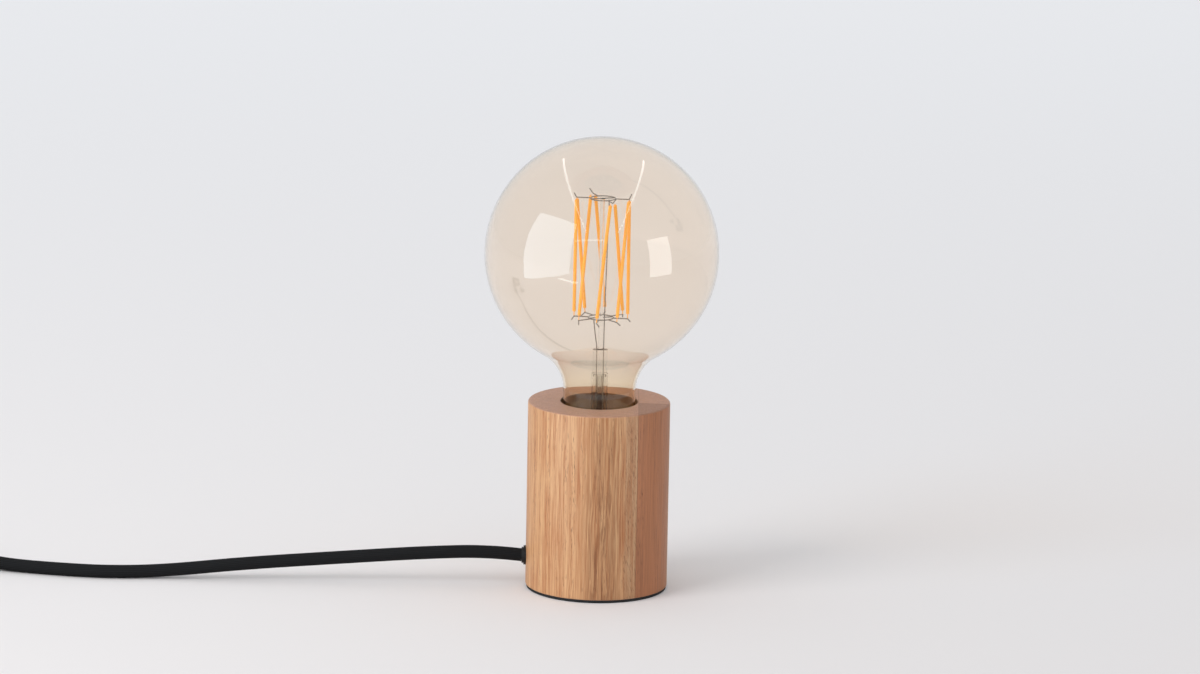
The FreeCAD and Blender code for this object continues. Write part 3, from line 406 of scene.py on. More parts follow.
# Boards of the glued-up cylinder, in metres from its axis.
BAND_X = 0.0152            # narrow paler board starts here
SEAM_X = 0.02105           # glue line beside the red board
SEAM_Y = -0.0032           # the red board lies in front of this line
SEAM_SLOPE = 0.128
SEAM_BLUR = 0.00004        # half the width over which one board gives way to the next
SEAM_FADE = (0.00018, 0.00006)     # distances from its middle between which a glue line darkens
STREAK_X = 0.0035          # middle of the reddish-brown streaks
STREAK_REACH = (0.0125, 0.004)     # distances from there between which they grow strong
STREAK_HEIGHTS = (0.115, 0.02)     # they also grow from the first height down to the second
GRAIN_RUN = 0.022          # how quickly the grain changes upwards, as a share of across
TOP_FADE = (0.0007, 0.0002)        # depths below the top between which end grain takes over
FOOT_FADE = (0.0005, 0.0001)       # the same above the foot
WELL_SHADE = (0.0210, 0.0206)      # radii between which painted shade darkens the wood into the well
# Painted shade: the dark brown put on the wood inside the well, where little light falls.
WELL_PAINTED_SHADE = linear((0.20, 0.15, 0.13))


def braid_finish():
    """Black textile braid.  The UV map holds metres along the cord and turns round it."""
    finish = Finish("black_braid")
    along, around, _ = finish.apart(finish.uv())
    column = finish.times(around, BRAID_COLUMNS)
    lean = finish.maths("PINGPONG", column, 1.0)
    thread = finish.plus(finish.maths("DIVIDE", along, BRAID_PITCH), lean)
    ridge = finish.maths("ABSOLUTE", finish.maths("SINE", finish.times(thread, math.pi)))
    rib = finish.maths("SINE", finish.times(finish.maths("FRACT", column), math.pi))
    height = finish.plus(finish.times(ridge, 0.6), finish.times(rib, 0.7))
    fuzz = finish.noise(finish.objects(), 5200.0, 2.0)
    fine = finish.plus(height, finish.times(fuzz, 0.35))
    # Painted shade: the grooves between the threads are darkened to a small share of the braid's colour,
    # where shade falls.
    colour = finish.mixed(finish.between(height, 0.25, 1.15), darker(tint("cord"), 0.12), tint("cord"))
    shader = finish.principled(
        Base_Color=colour, Roughness=0.8, Specular_IOR_Level=0.12,
        Normal=finish.bump(fine, 0.00022, 0.9))
    return finish.done(shader)


def moulded_finish(name, colour, roughness, grain=0.00003):
    """Moulded plastic or rubber with a faint texture and uneven gloss."""
    finish = Finish(name)
    fine = finish.noise(finish.objects(), 900.0, 4.0, 0.6)
    broad = finish.noise(finish.objects(), 60.0, 2.0)
    shader = finish.principled(
        Base_Color=finish.mixed(broad, darker(linear(colour), 0.8), linear(colour)),
        Specular_IOR_Level=0.35,
        Roughness=finish.between(fine, 0.3, 0.7, roughness - 0.06, roughness + 0.08),
        Normal=finish.bump(fine, grain, 0.7))
    return finish.done(shader)


def metal_finish(name, colour, roughness, brushed=(1.0, 1.0, 1.0)):
    """Metal with fine brushing along one direction and uneven gloss."""
    finish = Finish(name)
    lines = finish.noise(finish.stretched(brushed), 700.0, 3.0, 0.6)
    broad = finish.noise(finish.objects(), 90.0, 2.0)
    shader = finish.principled(
        Base_Color=finish.mixed(broad, darker(linear(colour), 0.72), linear(colour)), Metallic=1.0,
        Roughness=finish.between(lines, 0.3, 0.7, roughness - 0.07, roughness + 0.1),
        Normal=finish.bump(lines, 0.00002, 0.5))
    return finish.done(shader)


def streaked(finish, swayed, z, light):
    """Adds the reddish-brown streaks in the middle, stronger towards the foot."""
    near = finish.between(finish.maths("ABSOLUTE", finish.minus(swayed, STREAK_X)), *STREAK_REACH)
    low = finish.between(z, *STREAK_HEIGHTS, 0.45, 1.0)
    wavy = finish.noise(finish.stretched((620.0, 620.0, 34.0)), 1.0, 3.0, 0.6, 1.2)
    streak = finish.times(finish.times(near, low), finish.between(wavy, 0.40, 0.60, 0.28, 1.0))
    return finish.mixed(finish.times(streak, 0.85), light, darker(tint("oak_grain"), 0.52))


def banded(finish, place, sway, grain, light):
    """Adds the narrow paler board, with pores that lean."""
    x, y, z = place
    leaning = finish.joined(finish.plus(x, finish.times(z, 0.22)), y, finish.times(z, 0.09))
    pores = finish.between(finish.noise(leaning, 2300.0, 2.0, 0.5), 0.56, 0.68)
    band = finish.mixed(grain, scaled(tint("oak"), (0.78, 0.80, 0.84)),
                        scaled(tint("oak_grain"), (0.95, 1.0, 1.0)))
    band = finish.mixed(finish.times(pores, 0.5), band, darker(tint("oak_grain"), 0.4))
    inside = finish.maths("GREATER_THAN", finish.plus(x, finish.times(sway, 0.0012)), BAND_X)
    return finish.mixed(inside, light, band)


def red_board(finish, upright):
    """The redder board at the right."""
    lines = finish.between(finish.noise(upright, 1100.0, 4.0, 0.6), 0.4, 0.68)
    return finish.mixed(finish.times(lines, 0.65), tint("oak_red"), darker(tint("oak_red"), 0.55))


def end_grain(finish, x, y, is_red):
    """Growth rings, rays and open pores, darker across the red board."""
    place = finish.joined(finish.times(x, 0.18), y, 0.0)
    rings = finish.between(finish.noise(place, 900.0, 3.0, 0.55, 0.4), 0.4, 0.62)
    rays = finish.between(finish.noise(finish.stretched((2600.0, 190.0, 1.0)), 1.0, 2.0), 0.5, 0.66)
    holes = finish.between(finish.noise(finish.objects(), 2600.0, 2.0, 0.5), 0.58, 0.68)
    end = finish.mixed(finish.times(rings, 0.45), tint("oak_end"), darker(tint("oak_end"), 0.66))
    end = finish.mixed(finish.times(rays, 0.25), end, tint("oak"))
    end = finish.mixed(finish.times(holes, 0.5), end, darker(tint("oak_end"), 0.35))
    return finish.mixed(finish.times(is_red, 0.5), end, darker(tint("oak_red"), 0.45))


def oak_finish():
    """Glued oak boards: vertical grain round the side, end grain on the top and underneath."""
    finish = Finish("oak")
    x, y, z = finish.apart(finish.objects())
    sway = finish.noise(finish.stretched((70.0, 70.0, 16.0)), 1.0, 2.0)
    swayed = finish.plus(x, finish.times(finish.minus(sway, 0.5), 0.005))
    upright = finish.joined(swayed, y, finish.times(z, GRAIN_RUN))

    # Light boards: broad bands, fine lines and short pores.
    bands = finish.between(finish.noise(upright, 480.0, 3.0, 0.55), 0.38, 0.66)
    lines = finish.between(finish.noise(upright, 1900.0, 4.0, 0.62), 0.42, 0.62)
    pores = finish.noise(finish.stretched((3000.0, 3000.0, 210.0)), 1.0, 1.5, 0.5)
    clusters = finish.between(finish.noise(upright, 420.0, 2.0), 0.42, 0.6)
    pored = finish.times(finish.between(pores, 0.6, 0.7), clusters)
    grain = finish.plus(finish.times(bands, 0.48), finish.times(lines, 0.50))
    light = finish.mixed(grain, tint("oak"), tint("oak_grain"))
    light = streaked(finish, swayed, z, light)
    light = banded(finish, (x, y, z), sway, grain, light)

    # The red board lies right of one glue line and in front of the other.
    past = finish.minus(x, SEAM_X)
    seam_y = finish.minus(SEAM_Y, finish.times(past, SEAM_SLOPE))
    in_front = finish.minus(seam_y, y)
    is_red = finish.times(finish.between(past, -SEAM_BLUR, SEAM_BLUR),
                          finish.between(in_front, -SEAM_BLUR, SEAM_BLUR))
    side = finish.mixed(is_red, light, red_board(finish, upright))
    side = finish.mixed(finish.times(pored, 0.75), side, darker(tint("oak_grain"), 0.3))

    top = finish.between(z, *(WOOD_HIGH.z - depth for depth in TOP_FADE))
    under = finish.between(z, *(WOOD_LOW.z + rise for rise in FOOT_FADE))
    colour = finish.mixed(finish.maths("MAXIMUM", top, under), side, end_grain(finish, x, y, is_red))

    # Glue lines.
    upright_line = finish.between(finish.maths("ABSOLUTE", past), *SEAM_FADE)
    cross_line = finish.times(finish.between(finish.maths("ABSOLUTE", in_front), *SEAM_FADE),
                              finish.maths("GREATER_THAN", past, 0.0))
    line = finish.maths("MAXIMUM", upright_line, cross_line)
    colour = finish.mixed(finish.times(line, 0.55), colour, darker(tint("oak_grain"), 0.3))

    # The drilled wall of the well is rough; here it is darkened with painted shade, where little light
    # falls, only partly the drilled side grain's own darker colour.
    from_axis = finish.maths("SQRT", finish.plus(finish.times(x, x), finish.times(y, y)))
    inside = finish.between(from_axis, *WELL_SHADE)
    colour = finish.mixed(finish.times(inside, 0.8), colour, WELL_PAINTED_SHADE)

    relief = finish.minus(finish.times(lines, -0.35), finish.plus(finish.times(pored, 0.9), line))
    shader = finish.principled(
        Base_Color=colour, IOR=1.45,
        Roughness=finish.between(finish.noise(upright, 800.0, 3.0), 0.3, 0.7, 0.40, 0.56),
        Normal=finish.bump(relief, 0.00008, 0.6))
    return finish.done(shader)


def glass_finish(name, colour, low_colour=None, heights=(0.0, 0.0)):
    """Clear tinted glass, which lets light through without the noise of its caustics."""
    finish = Finish(name)
    base = colour
    if low_colour is not None:
        height = finish.apart(finish.objects())[2]
        base = finish.mixed(finish.between(height, heights[1], heights[0]), colour, low_colour)
    glass = finish.principled(Base_Color=base, Roughness=0.0, IOR=1.5, Transmission_Weight=1.0)
    passing = finish.node("BsdfTransparent", base)
    path = finish.node("LightPath")
    mix = finish.node("MixShader", path.outputs["Is Shadow Ray"])
    finish.feed(mix.inputs[1], glass.outputs[0])
    finish.feed(mix.inputs[2], passing.outputs[0])
    return finish.done(mix)


def filament_finish():
    """Orange silicone coat with the row of chips faintly showing through, and a faint painted glow though
    the bulb is not lit.
    """
    finish = Finish("filament_coat")
    height = finish.apart(finish.objects())[2]
    chip = finish.maths("SINE", finish.times(height, 2 * math.pi / CHIP_PITCH))
    uneven = finish.noise(finish.objects(), 900.0, 2.0)
    share = finish.plus(finish.between(chip, -0.2, 0.9, 0.0, 0.35), finish.times(uneven, 0.3))
    deep = scaled(tint("filament"), (1.0, 0.84, 0.6))
    shader = finish.principled(
        Base_Color=finish.mixed(share, tint("filament"), deep), Roughness=0.38,
        # Painted glow: the unlit coat gives off a little light of its own colour to brighten it.
        Emission_Color=tint("filament"), Emission_Strength=0.16,
        Normal=finish.bump(uneven, 0.00005, 0.5))
    return finish.done(shader)


def board_finish():
    """Green circuit board with darker copper tracks under the resist."""
    finish = Finish("board_green")
    tracks = finish.node("TexBrick")
    finish.feed(tracks.inputs["Vector"], finish.stretched((1.0, 1.0, 1.0), (0.0003, 0.0, 0.0002)))
    tracks.inputs["Scale"].default_value = 420.0
    finish.feed(tracks.inputs["Color1"], linear((0.10, 0.36, 0.20)))
    finish.feed(tracks.inputs["Color2"], linear((0.13, 0.42, 0.23)))
    finish.feed(tracks.inputs["Mortar"], linear((0.06, 0.25, 0.14)))
    gloss = finish.noise(finish.objects(), 700.0)
    shader = finish.principled(
        Base_Color=tracks.outputs[0], Roughness=finish.between(gloss, 0.3, 0.7, 0.25, 0.45),
        Normal=finish.bump(tracks.outputs[1], 0.00003, 0.5))
    return finish.done(shader)


def strap_finish():
    """A woven strap: warp and weft cross at right angles."""
    finish = Finish("tie_fabric")
    x, y, z = finish.apart(finish.objects())
    threads = 2 * math.pi / STRAP_PITCH
    warp = finish.maths("SINE", finish.times(finish.plus(x, y), threads))
    weft = finish.maths("SINE", finish.times(finish.minus(z, x), threads))
    cloth = finish.times(warp, weft)
    fuzz = finish.noise(finish.objects(), 3500.0, 2.0)
    height = finish.plus(cloth, fuzz)
    colour = linear(STRAP_COLOUR)
    shader = finish.principled(
        # Painted shade: the low places of the weave are darkened to half the strap's colour.
        Base_Color=finish.mixed(finish.between(height, -0.3, 1.2), darker(colour, 0.5), colour),
        Roughness=0.85, Sheen_Weight=0.2, Normal=finish.bump(height, 0.00015, 0.8))
    return finish.done(shader)


def floor_finish():
    """Pale seamless floor that gains a little light far behind."""
    finish = Finish("stage_floor")
    y = finish.apart(finish.objects())[1]
    tone = finish.mixed(finish.between(y, -0.3, 1.6), FLOOR_NEAR, FLOOR_FAR)
    shader = finish.principled(
        Base_Color=tone, Roughness=0.9, Specular_IOR_Level=0.15, Emission_Color=FLOOR_FAR,
        Emission_Strength=finish.between(y, -0.2, 1.8, 0.0, FLOOR_GLOW))
    return finish.done(shader)


MOULDED = {
    "foot_rubber": ((0.085, 0.085, 0.085), 0.75, 0.00004),
    "black_plastic": ((0.07, 0.07, 0.072), 0.42),
    "white_insert": ((0.80, 0.78, 0.74), 0.35),
    "switch_plastic": ((0.075, 0.075, 0.077), 0.46),
    "rocker_plastic": ((0.06, 0.06, 0.062), 0.30),
    "plug_plastic": ((0.07, 0.07, 0.072), 0.48),
    "wire_brown": ((0.36, 0.20, 0.11), 0.40),
    "wire_blue": ((0.13, 0.25, 0.62), 0.40),
    "cap_glass": ((0.10, 0.08, 0.12), 0.14),
    "board_parts": ((0.16, 0.15, 0.15), 0.45),
}
METALS = {
    "plate_steel": ((0.72, 0.73, 0.74), 0.38, (1.0, 0.05, 1.0)),
    "screw_steel": ((0.76, 0.76, 0.77), 0.30),
    "nipple_steel": ((0.70, 0.70, 0.71), 0.34),
    "contact_brass": ((0.84, 0.66, 0.36), 0.30),
    "shell_metal": ((0.80, 0.79, 0.76), 0.26, (1.0, 1.0, 0.1)),
    "spider_wire": ((0.62, 0.60, 0.58), 0.30),
    "cap_metal": ((0.78, 0.78, 0.78), 0.27, (1.0, 1.0, 0.1)),
    "tip_solder": ((0.66, 0.67, 0.68), 0.36),
    "pin_brass": ((0.82, 0.80, 0.76), 0.24, (0.05, 1.0, 1.0)),
}
NECK_TINT = (0.985, 0.95, 0.84)     # how much deeper the glass is towards its neck
NECK_TINT_HEIGHTS = (0.100, 0.132)


def globe_finish():
    """Amber glass, deeper towards the neck."""
    warm = tint("glass")
    return glass_finish("amber_glass", warm, scaled(warm, NECK_TINT), NECK_TINT_HEIGHTS)


def clear_finish():
    return glass_finish("clear_glass", linear((0.975, 0.975, 0.97)))


MADE_ALONE = {
    "oak": oak_finish, "black_braid": braid_finish, "filament_coat": filament_finish,
    "board_green": board_finish, "amber_glass": globe_finish, "clear_glass": clear_finish,
    "tie_fabric": strap_finish, "stage_floor": floor_finish,
}


def finished(name):
    """A finish by name, made the first time it is asked for."""
    if name + LOOK in bpy.data.materials:
        return bpy.data.materials[name + LOOK]
    if name in MOULDED:
        return moulded_finish(name, *MOULDED[name])
    if name in METALS:
        return metal_finish(name, *METALS[name])
    return MADE_ALONE[name]()


def refinished(finish, *nodes):
    """Gives CAD nodes a finish; their shapes stay as they are."""
    for node in nodes:
        for place in NODES[node].material_slots:
            place.material = finished(finish)


# ---------------------------------------------------------------- cord helpers
def guide_points(name, route):
    """Points of the smooth line that follows a route, read from its NURBS spline."""
    line = bpy.data.curves.new(name, "CURVE")
    line.dimensions = "3D"
    line.resolution_u = 8
    spline = line.splines.new("NURBS")
    spline.points.add(len(route) - 1)
    for point, place in zip(spline.points, route):
        point.co = (*place, 1.0)
    spline.order_u = 3
    spline.use_endpoint_u = True
    guide = linked(name, line)
    traced = bpy.data.meshes.new_from_object(guide)
    points = [v.co.copy() for v in traced.vertices]
    bpy.data.objects.remove(guide)
    bpy.data.curves.remove(line)
    bpy.data.meshes.remove(traced)
    return points


def cord_tube(name, points, radius, material, sides=24):
    """A closed round tube along points, with metres along and turns around in its UV map."""
    bm = bmesh.new()
    layer = bm.loops.layers.uv.new("UVMap")
    rings, along, travelled = [], [], 0.0
    across = None
    for k, point in enumerate(points):
        ahead = points[min(k + 1, len(points) - 1)] - points[max(k - 1, 0)]
        ahead.normalize()
        if across is None:
            across = ahead.orthogonal().normalized()
        across = (across - ahead * across.dot(ahead)).normalized()
        other = ahead.cross(across)
        if k:
            travelled += (point - points[k - 1]).length
        along.append(travelled)
        ring = []
        for side in range(sides):
            turn = 2 * math.pi * side / sides
            ring.append(bm.verts.new(point + (across * math.cos(turn) + other * math.sin(turn)) * radius))
        rings.append(ring)
    for k in range(len(rings) - 1):
        for side in range(sides):
            after = (side + 1) % sides
            face = bm.faces.new((rings[k][side], rings[k][after], rings[k + 1][after], rings[k + 1][side]))
            places = ((along[k], side), (along[k], side + 1), (along[k + 1], side + 1), (along[k + 1], side))
            for loop, (far, turn) in zip(face.loops, places):
                loop[layer].uv = (far, turn / sides)
    bm.faces.new(rings[0][::-1])
    bm.faces.new(rings[-1])
    bmesh.ops.recalc_face_normals(bm, faces=bm.faces)
    return meshed(bm, name, material, math.radians(60))


def coil_route():
    """Control points of the coil, a little outside its turns because the spline cuts inside."""
    outside = 1 / math.cos(math.radians(COIL_POINT_STEP / 2))
    route = []
    angle = COIL_START + COIL_POINT_STEP
    while angle < COIL_END - COIL_POINT_STEP / 2:
        radius, height = COIL_TURNS[0]
        for k in range(1, len(COIL_TURNS)):
            begun = (angle - COIL_SHIFT_AT - COIL_SHIFT_EVERY * (k - 1)) / COIL_SHIFT_LENGTH
            share = min(1.0, max(0.0, begun))
            radius += (COIL_TURNS[k][0] - COIL_TURNS[k - 1][0]) * share
            height += (COIL_TURNS[k][1] - COIL_TURNS[k - 1][1]) * share
        turn = math.radians(angle)
        route.append((COIL_CENTRE.x + radius * outside * math.cos(turn),
                      COIL_CENTRE.y + radius * outside * math.sin(turn), height))
        angle += COIL_POINT_STEP
    return route


# ---------------------------------------------------------------- camera and light
CAMERA_DISTANCE = 4.0
CAMERA_ELEVATION = math.radians(12.577)
CAMERA_AIM = Vector((-0.000228, 0.0, 0.13693))
CAMERA_LENS = 225.0
SENSOR_WIDTH = 36.0
CAMERA_ROLL = math.radians(1.04)
CLIP_START, CLIP_END = 0.1, 40.0
FLOOR_REACH = 6.0
FLOOR_CELLS = 12
FLOOR_DROP = 0.00005       # keeps the floor just under the lamp's foot
FLOOR_GLOW = 0.17          # what the floor gains far behind, where the key light thins out
KEY_PLACE = Vector((-1.6, -1.2, 1.2))
KEY_AIM = Vector((0.0, 0.0, 0.1))
KEY_SIZE = 1.2
KEY_POWER = 24.0
FLOOR_NEAR = linear((0.925, 0.910, 0.908))
FLOOR_FAR = linear((0.930, 0.930, 0.938))
BACKDROP = linear((0.900, 0.900, 0.915))
FILL = (0.96, 0.98, 1.0, 1.0)
FILL_STRENGTH = 0.75
# Bright panels round the lamp, which only its shiny pieces see: name, corners, radiance, colour.
PANELS = (
    ("softbox_left",
     ((-0.6, -1.03, 0.0), (-0.6, -0.12, 0.0), (-0.6, -0.12, 0.60), (-0.6, -1.03, 1.08)),
     5.0, (0.80, 0.92, 1.0)),
    ("softbox_right",
     ((0.905, -0.33, 0.0), (0.635, -0.61, 0.0), (0.635, -0.61, 0.52), (0.905, -0.33, 0.52)),
     5.0, (1.0, 0.99, 0.97)),
    ("strip_left",
     ((-0.64, -1.97, 1.43), (-0.60, -1.97, 1.43), (-0.60, 1.15, 1.43), (-0.64, 1.15, 1.43)),
     5.0, (1.0, 1.0, 1.0)),
    ("strip_right",
     ((0.60, -1.97, 1.43), (0.64, -1.97, 1.43), (0.64, 1.15, 1.43), (0.60, 1.15, 1.43)),
     5.0, (1.0, 1.0, 1.0)),
    ("tube_front",
     ((-1.9, -3.5, 1.74), (0.08, -3.5, 1.74), (0.08, -3.5, 1.86), (-1.9, -3.5, 1.86)),
     4.0, (1.0, 1.0, 1.0)),
    ("strip_low",
     ((-0.475, -0.58, 0.01), (-0.225, -0.58, 0.01), (-0.225, -0.52, 0.01), (-0.475, -0.52, 0.01)),
     6.0, (1.0, 1.0, 1.0)),
)


class LAMP_OT_camera(bpy.types.Operator):
    """Places the camera where the photograph was taken from"""

    bl_idname = "lamp.camera"
    bl_label = "Camera"

    def execute(self, context):
        data = bpy.data.cameras.new("camera")
        data.sensor_width = SENSOR_WIDTH
        data.lens = CAMERA_LENS
        data.clip_start, data.clip_end = CLIP_START, CLIP_END
        camera = linked("camera", data)
        back = Vector((0.0, -math.cos(CAMERA_ELEVATION), math.sin(CAMERA_ELEVATION)))
        camera.location = CAMERA_AIM + back * CAMERA_DISTANCE
        camera.rotation_mode = "QUATERNION"
        upright = (-back).to_track_quat("-Z", "Y")
        camera.rotation_quaternion = upright @ Quaternion((0, 0, 1), CAMERA_ROLL)
        context.scene.camera = camera
        return {"FINISHED"}


class LAMP_OT_cords(bpy.types.Operator):
    """Lays the braided cord from the lamp to its switch, and on through the coil to the plug"""

    bl_idname = "lamp.cords"
    bl_label = "Cords"

    def execute(self, context):
        radius = CORD_DIAMETER / 2
        lead_points = guide_points("lead_guide", LEAD_ROUTE)
        lead = cord_tube("braided_lead", lead_points, radius, finished("black_braid"))
        settled(lead, "root", "black_braid", "cord_lead")
        tail_points = guide_points("tail_guide", (*TAIL_ROUTE, *coil_route(), *END_ROUTE))
        tail = cord_tube("braided_tail", tail_points, radius, finished("black_braid"))
        settled(tail, "root", "black_braid", "cord_tail", "cord_coil", "cord_end")
        refinished("black_braid", "cord_inner")
        refinished("tie_fabric", "cord_tie")
        return {"FINISHED"}


class LAMP_OT_stage(bpy.types.Operator):
    """Sets the pale floor, the surroundings and the soft studio light"""

    bl_idname = "lamp.stage"
    bl_label = "Stage"

    def execute(self, context):
        bm = bmesh.new()
        bmesh.ops.create_grid(bm, x_segments=FLOOR_CELLS, y_segments=FLOOR_CELLS, size=FLOOR_REACH)
        bmesh.ops.translate(bm, verts=bm.verts, vec=(0, 0, -FLOOR_DROP))
        floor = meshed(bm, "stage_floor", finished("stage_floor"))
        for name, corners, radiance, colour in PANELS:
            bm = bmesh.new()
            bm.faces.new([bm.verts.new(corner) for corner in corners])
            glow = Finish(name + "_glow")
            emission = glow.node("Emission", (*colour, 1.0), radiance)
            glow.done(emission)
            sheet = meshed(bm, name, glow.material)
            sheet.visible_camera = False
            sheet.visible_transmission = False
            sheet.visible_shadow = False
            sheet.visible_diffuse = False
        self.surroundings(context)
        self.key_light()
        context.scene.view_settings.view_transform = "Standard"
        return {"FINISHED"}

    def key_light(self):
        """A large soft light at the front left."""
        data = bpy.data.lights.new("key", "AREA")
        data.shape = "SQUARE"
        data.size = KEY_SIZE
        data.energy = KEY_POWER
        key = linked("key", data)
        key.location = KEY_PLACE
        key.rotation_mode = "QUATERNION"
        key.rotation_quaternion = (KEY_AIM - KEY_PLACE).to_track_quat("-Z", "Y")
        key.visible_camera = False
        key.visible_glossy = False
        key.visible_transmission = False

    def surroundings(self, context):
        """Pale to the camera, and an even, faintly cool fill light for every other ray."""
        world = bpy.data.worlds.new("surroundings")
        world.use_nodes = True
        tree = world.node_tree
        tree.nodes.clear()
        output = tree.nodes.new("ShaderNodeOutputWorld")
        path = tree.nodes.new("ShaderNodeLightPath")
        seen = tree.nodes.new("ShaderNodeBackground")
        seen.inputs[0].default_value = BACKDROP
        fill = tree.nodes.new("ShaderNodeBackground")
        fill.inputs[0].default_value = FILL
        fill.inputs[1].default_value = FILL_STRENGTH
        mix = tree.nodes.new("ShaderNodeMixShader")
        tree.links.new(path.outputs["Is Camera Ray"], mix.inputs[0])
        tree.links.new(fill.outputs[0], mix.inputs[1])
        tree.links.new(seen.outputs[0], mix.inputs[2])
        tree.links.new(mix.outputs[0], output.inputs["Surface"])
        context.scene.world = world


# ---------------------------------------------------------------- pieces
class LAMP_OT_wood(bpy.types.Operator):
    """Turns the wooden cylinder with its well, its cavity and the hole for the cord"""

    bl_idname = "lamp.wood"
    bl_label = "Wooden cylinder"

    def execute(self, context):
        given = sizes()
        outer, well = given.wood_diameter / 2, given.well_diameter / 2
        low, high, edge = WOOD_LOW.z, WOOD_HIGH.z, given.wood_edge
        slight = edge * SLIGHT_EDGE
        outline = eased(
            [(COVER_RECESS_RADIUS, low), (outer, low), (outer, high), (well, high),
             (well, given.well_floor), (NIPPLE_HOLE_RADIUS, given.well_floor),
             (NIPPLE_HOLE_RADIUS, WEB_LOW), (CAVITY_RADIUS, WEB_LOW), (CAVITY_RADIUS, COVER_SEAT),
             (COVER_RECESS_RADIUS, COVER_SEAT)],
            [0, slight, edge, slight, 0, 0, 0, 0, 0, 0], 8)
        wood = lathe(outline, "turned_wood", finished("oak"), WOOD_STEPS)
        drill = self.drill()
        cut = wood.modifiers.new("cord_hole", "BOOLEAN")
        cut.operation = "DIFFERENCE"
        cut.solver = "EXACT"
        cut.object = drill
        graph = context.evaluated_depsgraph_get()
        drilled = bpy.data.meshes.new_from_object(wood.evaluated_get(graph))
        wood.modifiers.clear()
        wood.data = drilled
        bpy.data.objects.remove(drill)
        settled(wood, "root", "oak", "wood_body")
        return {"FINISHED"}

    def drill(self):
        """A rod across the wall where the bushing goes."""
        bm = bmesh.new()
        turn = Matrix.Rotation(math.pi / 2, 4, "Y")
        middle = Matrix.Translation((DRILL_X, 0.0, BORE_HEIGHT))
        bmesh.ops.create_cone(bm, cap_ends=True, segments=48, radius1=BORE_RADIUS, radius2=BORE_RADIUS,
                              depth=DRILL_LENGTH, matrix=middle @ turn)
        return meshed(bm, "drill")


class LAMP_OT_foot(bpy.types.Operator):
    """Adds the foot ring, the cover under the cavity and its screws"""

    bl_idname = "lamp.foot"
    bl_label = "Foot and cover"

    def execute(self, context):
        low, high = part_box("foot_pad")
        inner, outer = FOOT_RING_BORE, high.x
        corners = [(inner, low.z), (outer, low.z), (outer, high.z), (inner, high.z)]
        outline = eased(corners, [FOOT_RING_EDGE] * 4, 4)
        ring = lathe(outline, "foot_ring", finished("foot_rubber"), RING_STEPS)
        settled(ring, "root", "foot_rubber", "foot_pad")
        refinished("plate_steel", "bottom_cover")
        refinished("screw_steel", "cover_screws")
        return {"FINISHED"}


class LAMP_OT_cord_exit(bpy.types.Operator):
    """Adds the flanged bushing, its nut, the cord stop and the wires inside the base"""

    bl_idname = "lamp.cord_exit"
    bl_label = "Cord exit"

    def execute(self, context):
        merged_copy("cord_bushing", "cord_grommet", finished("black_plastic"), "root", "black_plastic")
        refinished("black_plastic", "bushing_nut", "cord_stop")
        refinished("screw_steel", "stop_screw", "nipple_washer", "nipple_nut")
        refinished("nipple_steel", "nipple")
        refinished("wire_brown", "wire_live")
        refinished("wire_blue", "wire_neutral")
        return {"FINISHED"}


class LAMP_OT_holder(bpy.types.Operator):
    """Finishes the lampholder that is sunk in the wood"""

    bl_idname = "lamp.holder"
    bl_label = "Lampholder"

    def execute(self, context):
        refinished("black_plastic", "holder_dome", "holder_skirt")
        refinished("white_insert", "holder_insert")
        refinished("contact_brass", "centre_contact", "side_contact", "terminal_screws")
        refinished("shell_metal", "holder_shell")
        return {"FINISHED"}


class LAMP_OT_globe(bpy.types.Operator):
    """Blows the large glass globe with its neck, as one closed wall"""

    bl_idname = "lamp.globe"
    bl_label = "Glass globe"

    def execute(self, context):
        wall = sizes().glass_wall
        outer = self.outline(0.0)
        inner = self.outline(wall)
        globe = lathe(outer + inner[::-1], "glass_globe", finished("amber_glass"), GLOBE_STEPS)
        settled(globe, "bulb", "amber_glass", "globe")
        return {"FINISHED"}

    def outline(self, inset):
        """Foot, drawn-in waist, neck, concave blend and sphere, moved inwards by inset."""
        given = sizes()
        middle = GLOBE_CENTRE.z
        sphere, neck, blend = given.globe_diameter / 2, given.neck_diameter / 2, given.neck_blend
        blend_r = neck + blend
        blend_z = middle - math.sqrt((sphere + blend) ** 2 - blend_r ** 2)
        lean = math.atan2(blend_z - middle, blend_r)
        drop = NECK_FOOT_HEIGHT - GLASS_FOOT_HEIGHT
        draw = neck - GLASS_FOOT_RADIUS
        bend = (draw ** 2 + drop ** 2) / (4 * draw)
        sweep = math.asin(drop / 2 / bend)
        points = [(GLASS_FOOT_RADIUS - inset, GLASS_END_HEIGHT)]
        points += arc_points((GLASS_FOOT_RADIUS + bend, GLASS_FOOT_HEIGHT), bend + inset,
                             math.pi, math.pi - sweep, BEND_POINTS)
        points += arc_points((neck - bend, NECK_FOOT_HEIGHT), bend - inset,
                             -sweep, 0.0, BEND_POINTS)[1:]
        points += arc_points((blend_r, blend_z), blend + inset, math.pi, math.pi + lean, BLEND_POINTS)
        points += arc_points((0.0, middle), sphere - inset, lean, math.pi / 2, SPHERE_POINTS)[1:]
        points[-1] = (0.0, middle + sphere - inset)
        return points


class LAMP_OT_stem(bpy.types.Operator):
    """Adds the glass stem and rod with the wires that carry the filaments"""

    bl_idname = "lamp.stem"
    bl_label = "Stem and wires"

    def execute(self, context):
        merged_copy("stem", "glass_stem", finished("clear_glass"), "bulb", "clear_glass")
        merged_copy("support_rod", "glass_rod", finished("clear_glass"), "bulb", "clear_glass")
        for node in WIRE_NODES:
            merged_copy(node, "drawn_" + node, finished("spider_wire"), "bulb", "spider_wire")
        return {"FINISHED"}


class LAMP_OT_filaments(bpy.types.Operator):
    """Adds the eight straight filaments"""

    bl_idname = "lamp.filaments"
    bl_label = "Filaments"

    def execute(self, context):
        for number in range(FILAMENT_COUNT):
            node = "filament_%d" % (number + 1)
            merged_copy(node, "coated_" + node, finished("filament_coat"), "bulb", "filament_coat")
        return {"FINISHED"}


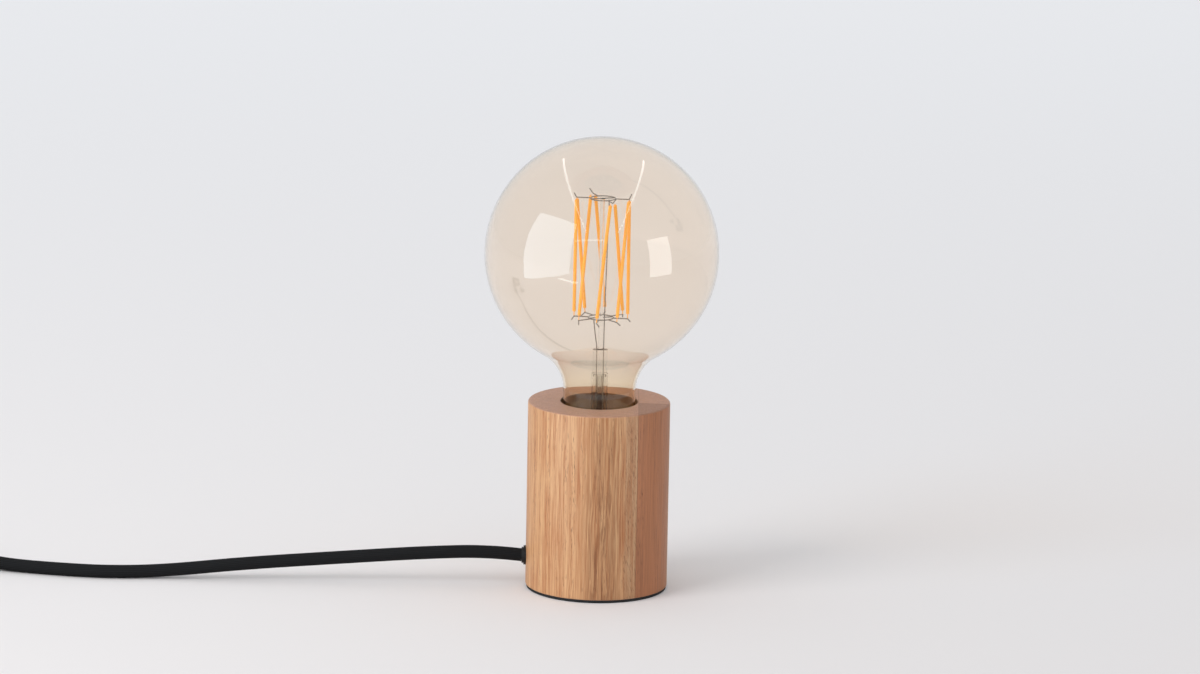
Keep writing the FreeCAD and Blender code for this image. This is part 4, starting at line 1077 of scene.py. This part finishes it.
class LAMP_OT_cap(bpy.types.Operator):
    """Finishes the bulb's screw cap with its contact and driver"""

    bl_idname = "lamp.cap"
    bl_label = "Bulb cap"

    def execute(self, context):
        refinished("cap_metal", "cap_shell")
        refinished("cap_glass", "cap_insulator")
        refinished("tip_solder", "cap_contact")
        refinished("board_green", "driver_board")
        refinished("board_parts", "driver_parts")
        return {"FINISHED"}


class LAMP_OT_switch(bpy.types.Operator):
    """Finishes the in-line rocker switch"""

    bl_idname = "lamp.switch"
    bl_label = "In-line switch"

    def execute(self, context):
        refinished("switch_plastic", "switch_base", "switch_top", "clamp_bars")
        refinished("rocker_plastic", "switch_rocker")
        refinished("contact_brass", "rocker_contact", "switch_contacts")
        refinished("screw_steel", "clamp_screws", "switch_screws")
        refinished("wire_brown", "switch_live")
        refinished("wire_blue", "switch_neutral")
        return {"FINISHED"}


class LAMP_OT_plug(bpy.types.Operator):
    """Finishes the plug with its grooved relief, pins and sleeves"""

    bl_idname = "lamp.plug"
    bl_label = "Plug"

    def execute(self, context):
        refinished("plug_plastic", "plug_body", "plug_relief", "plug_sleeves")
        refinished("pin_brass", "plug_pins")
        return {"FINISHED"}


STEPS = (
    LAMP_OT_camera, LAMP_OT_cords, LAMP_OT_stage, LAMP_OT_wood, LAMP_OT_foot, LAMP_OT_cord_exit,
    LAMP_OT_holder, LAMP_OT_globe, LAMP_OT_stem, LAMP_OT_filaments, LAMP_OT_cap, LAMP_OT_switch,
    LAMP_OT_plug,
)


class LAMP_PT_panel(bpy.types.Panel):
    """Lists the lamp's sizes, colours and steps"""

    bl_label = "Globe Bulb Table Lamp"
    bl_idname = "LAMP_PT_panel"
    bl_space_type = "VIEW_3D"
    bl_region_type = "UI"
    bl_category = "Bulb Lamp"

    def draw(self, context):
        column = self.layout.column()
        for group in (context.scene.lamp_sizes, context.scene.lamp_colours):
            for name in group.__annotations__:
                column.prop(group, name)
        for step in STEPS:
            column.operator(step.bl_idname)


CLASSES = (LampSizes, LampColours, *STEPS, LAMP_PT_panel)


def register():
    for made in CLASSES:
        bpy.utils.register_class(made)
    bpy.types.Scene.lamp_sizes = bpy.props.PointerProperty(type=LampSizes)
    bpy.types.Scene.lamp_colours = bpy.props.PointerProperty(type=LampColours)


def unregister():
    del bpy.types.Scene.lamp_colours
    del bpy.types.Scene.lamp_sizes
    for made in reversed(CLASSES):
        bpy.utils.unregister_class(made)


def main():
    register()
    bpy.ops.lamp.camera()
    bpy.ops.lamp.cords()
    bpy.ops.lamp.stage()
    bpy.ops.lamp.wood()
    bpy.ops.lamp.foot()
    bpy.ops.lamp.cord_exit()
    bpy.ops.lamp.holder()
    bpy.ops.lamp.globe()
    bpy.ops.lamp.stem()
    bpy.ops.lamp.filaments()
    bpy.ops.lamp.cap()
    bpy.ops.lamp.switch()
    bpy.ops.lamp.plug()


if __name__ == "__main__":
    main()
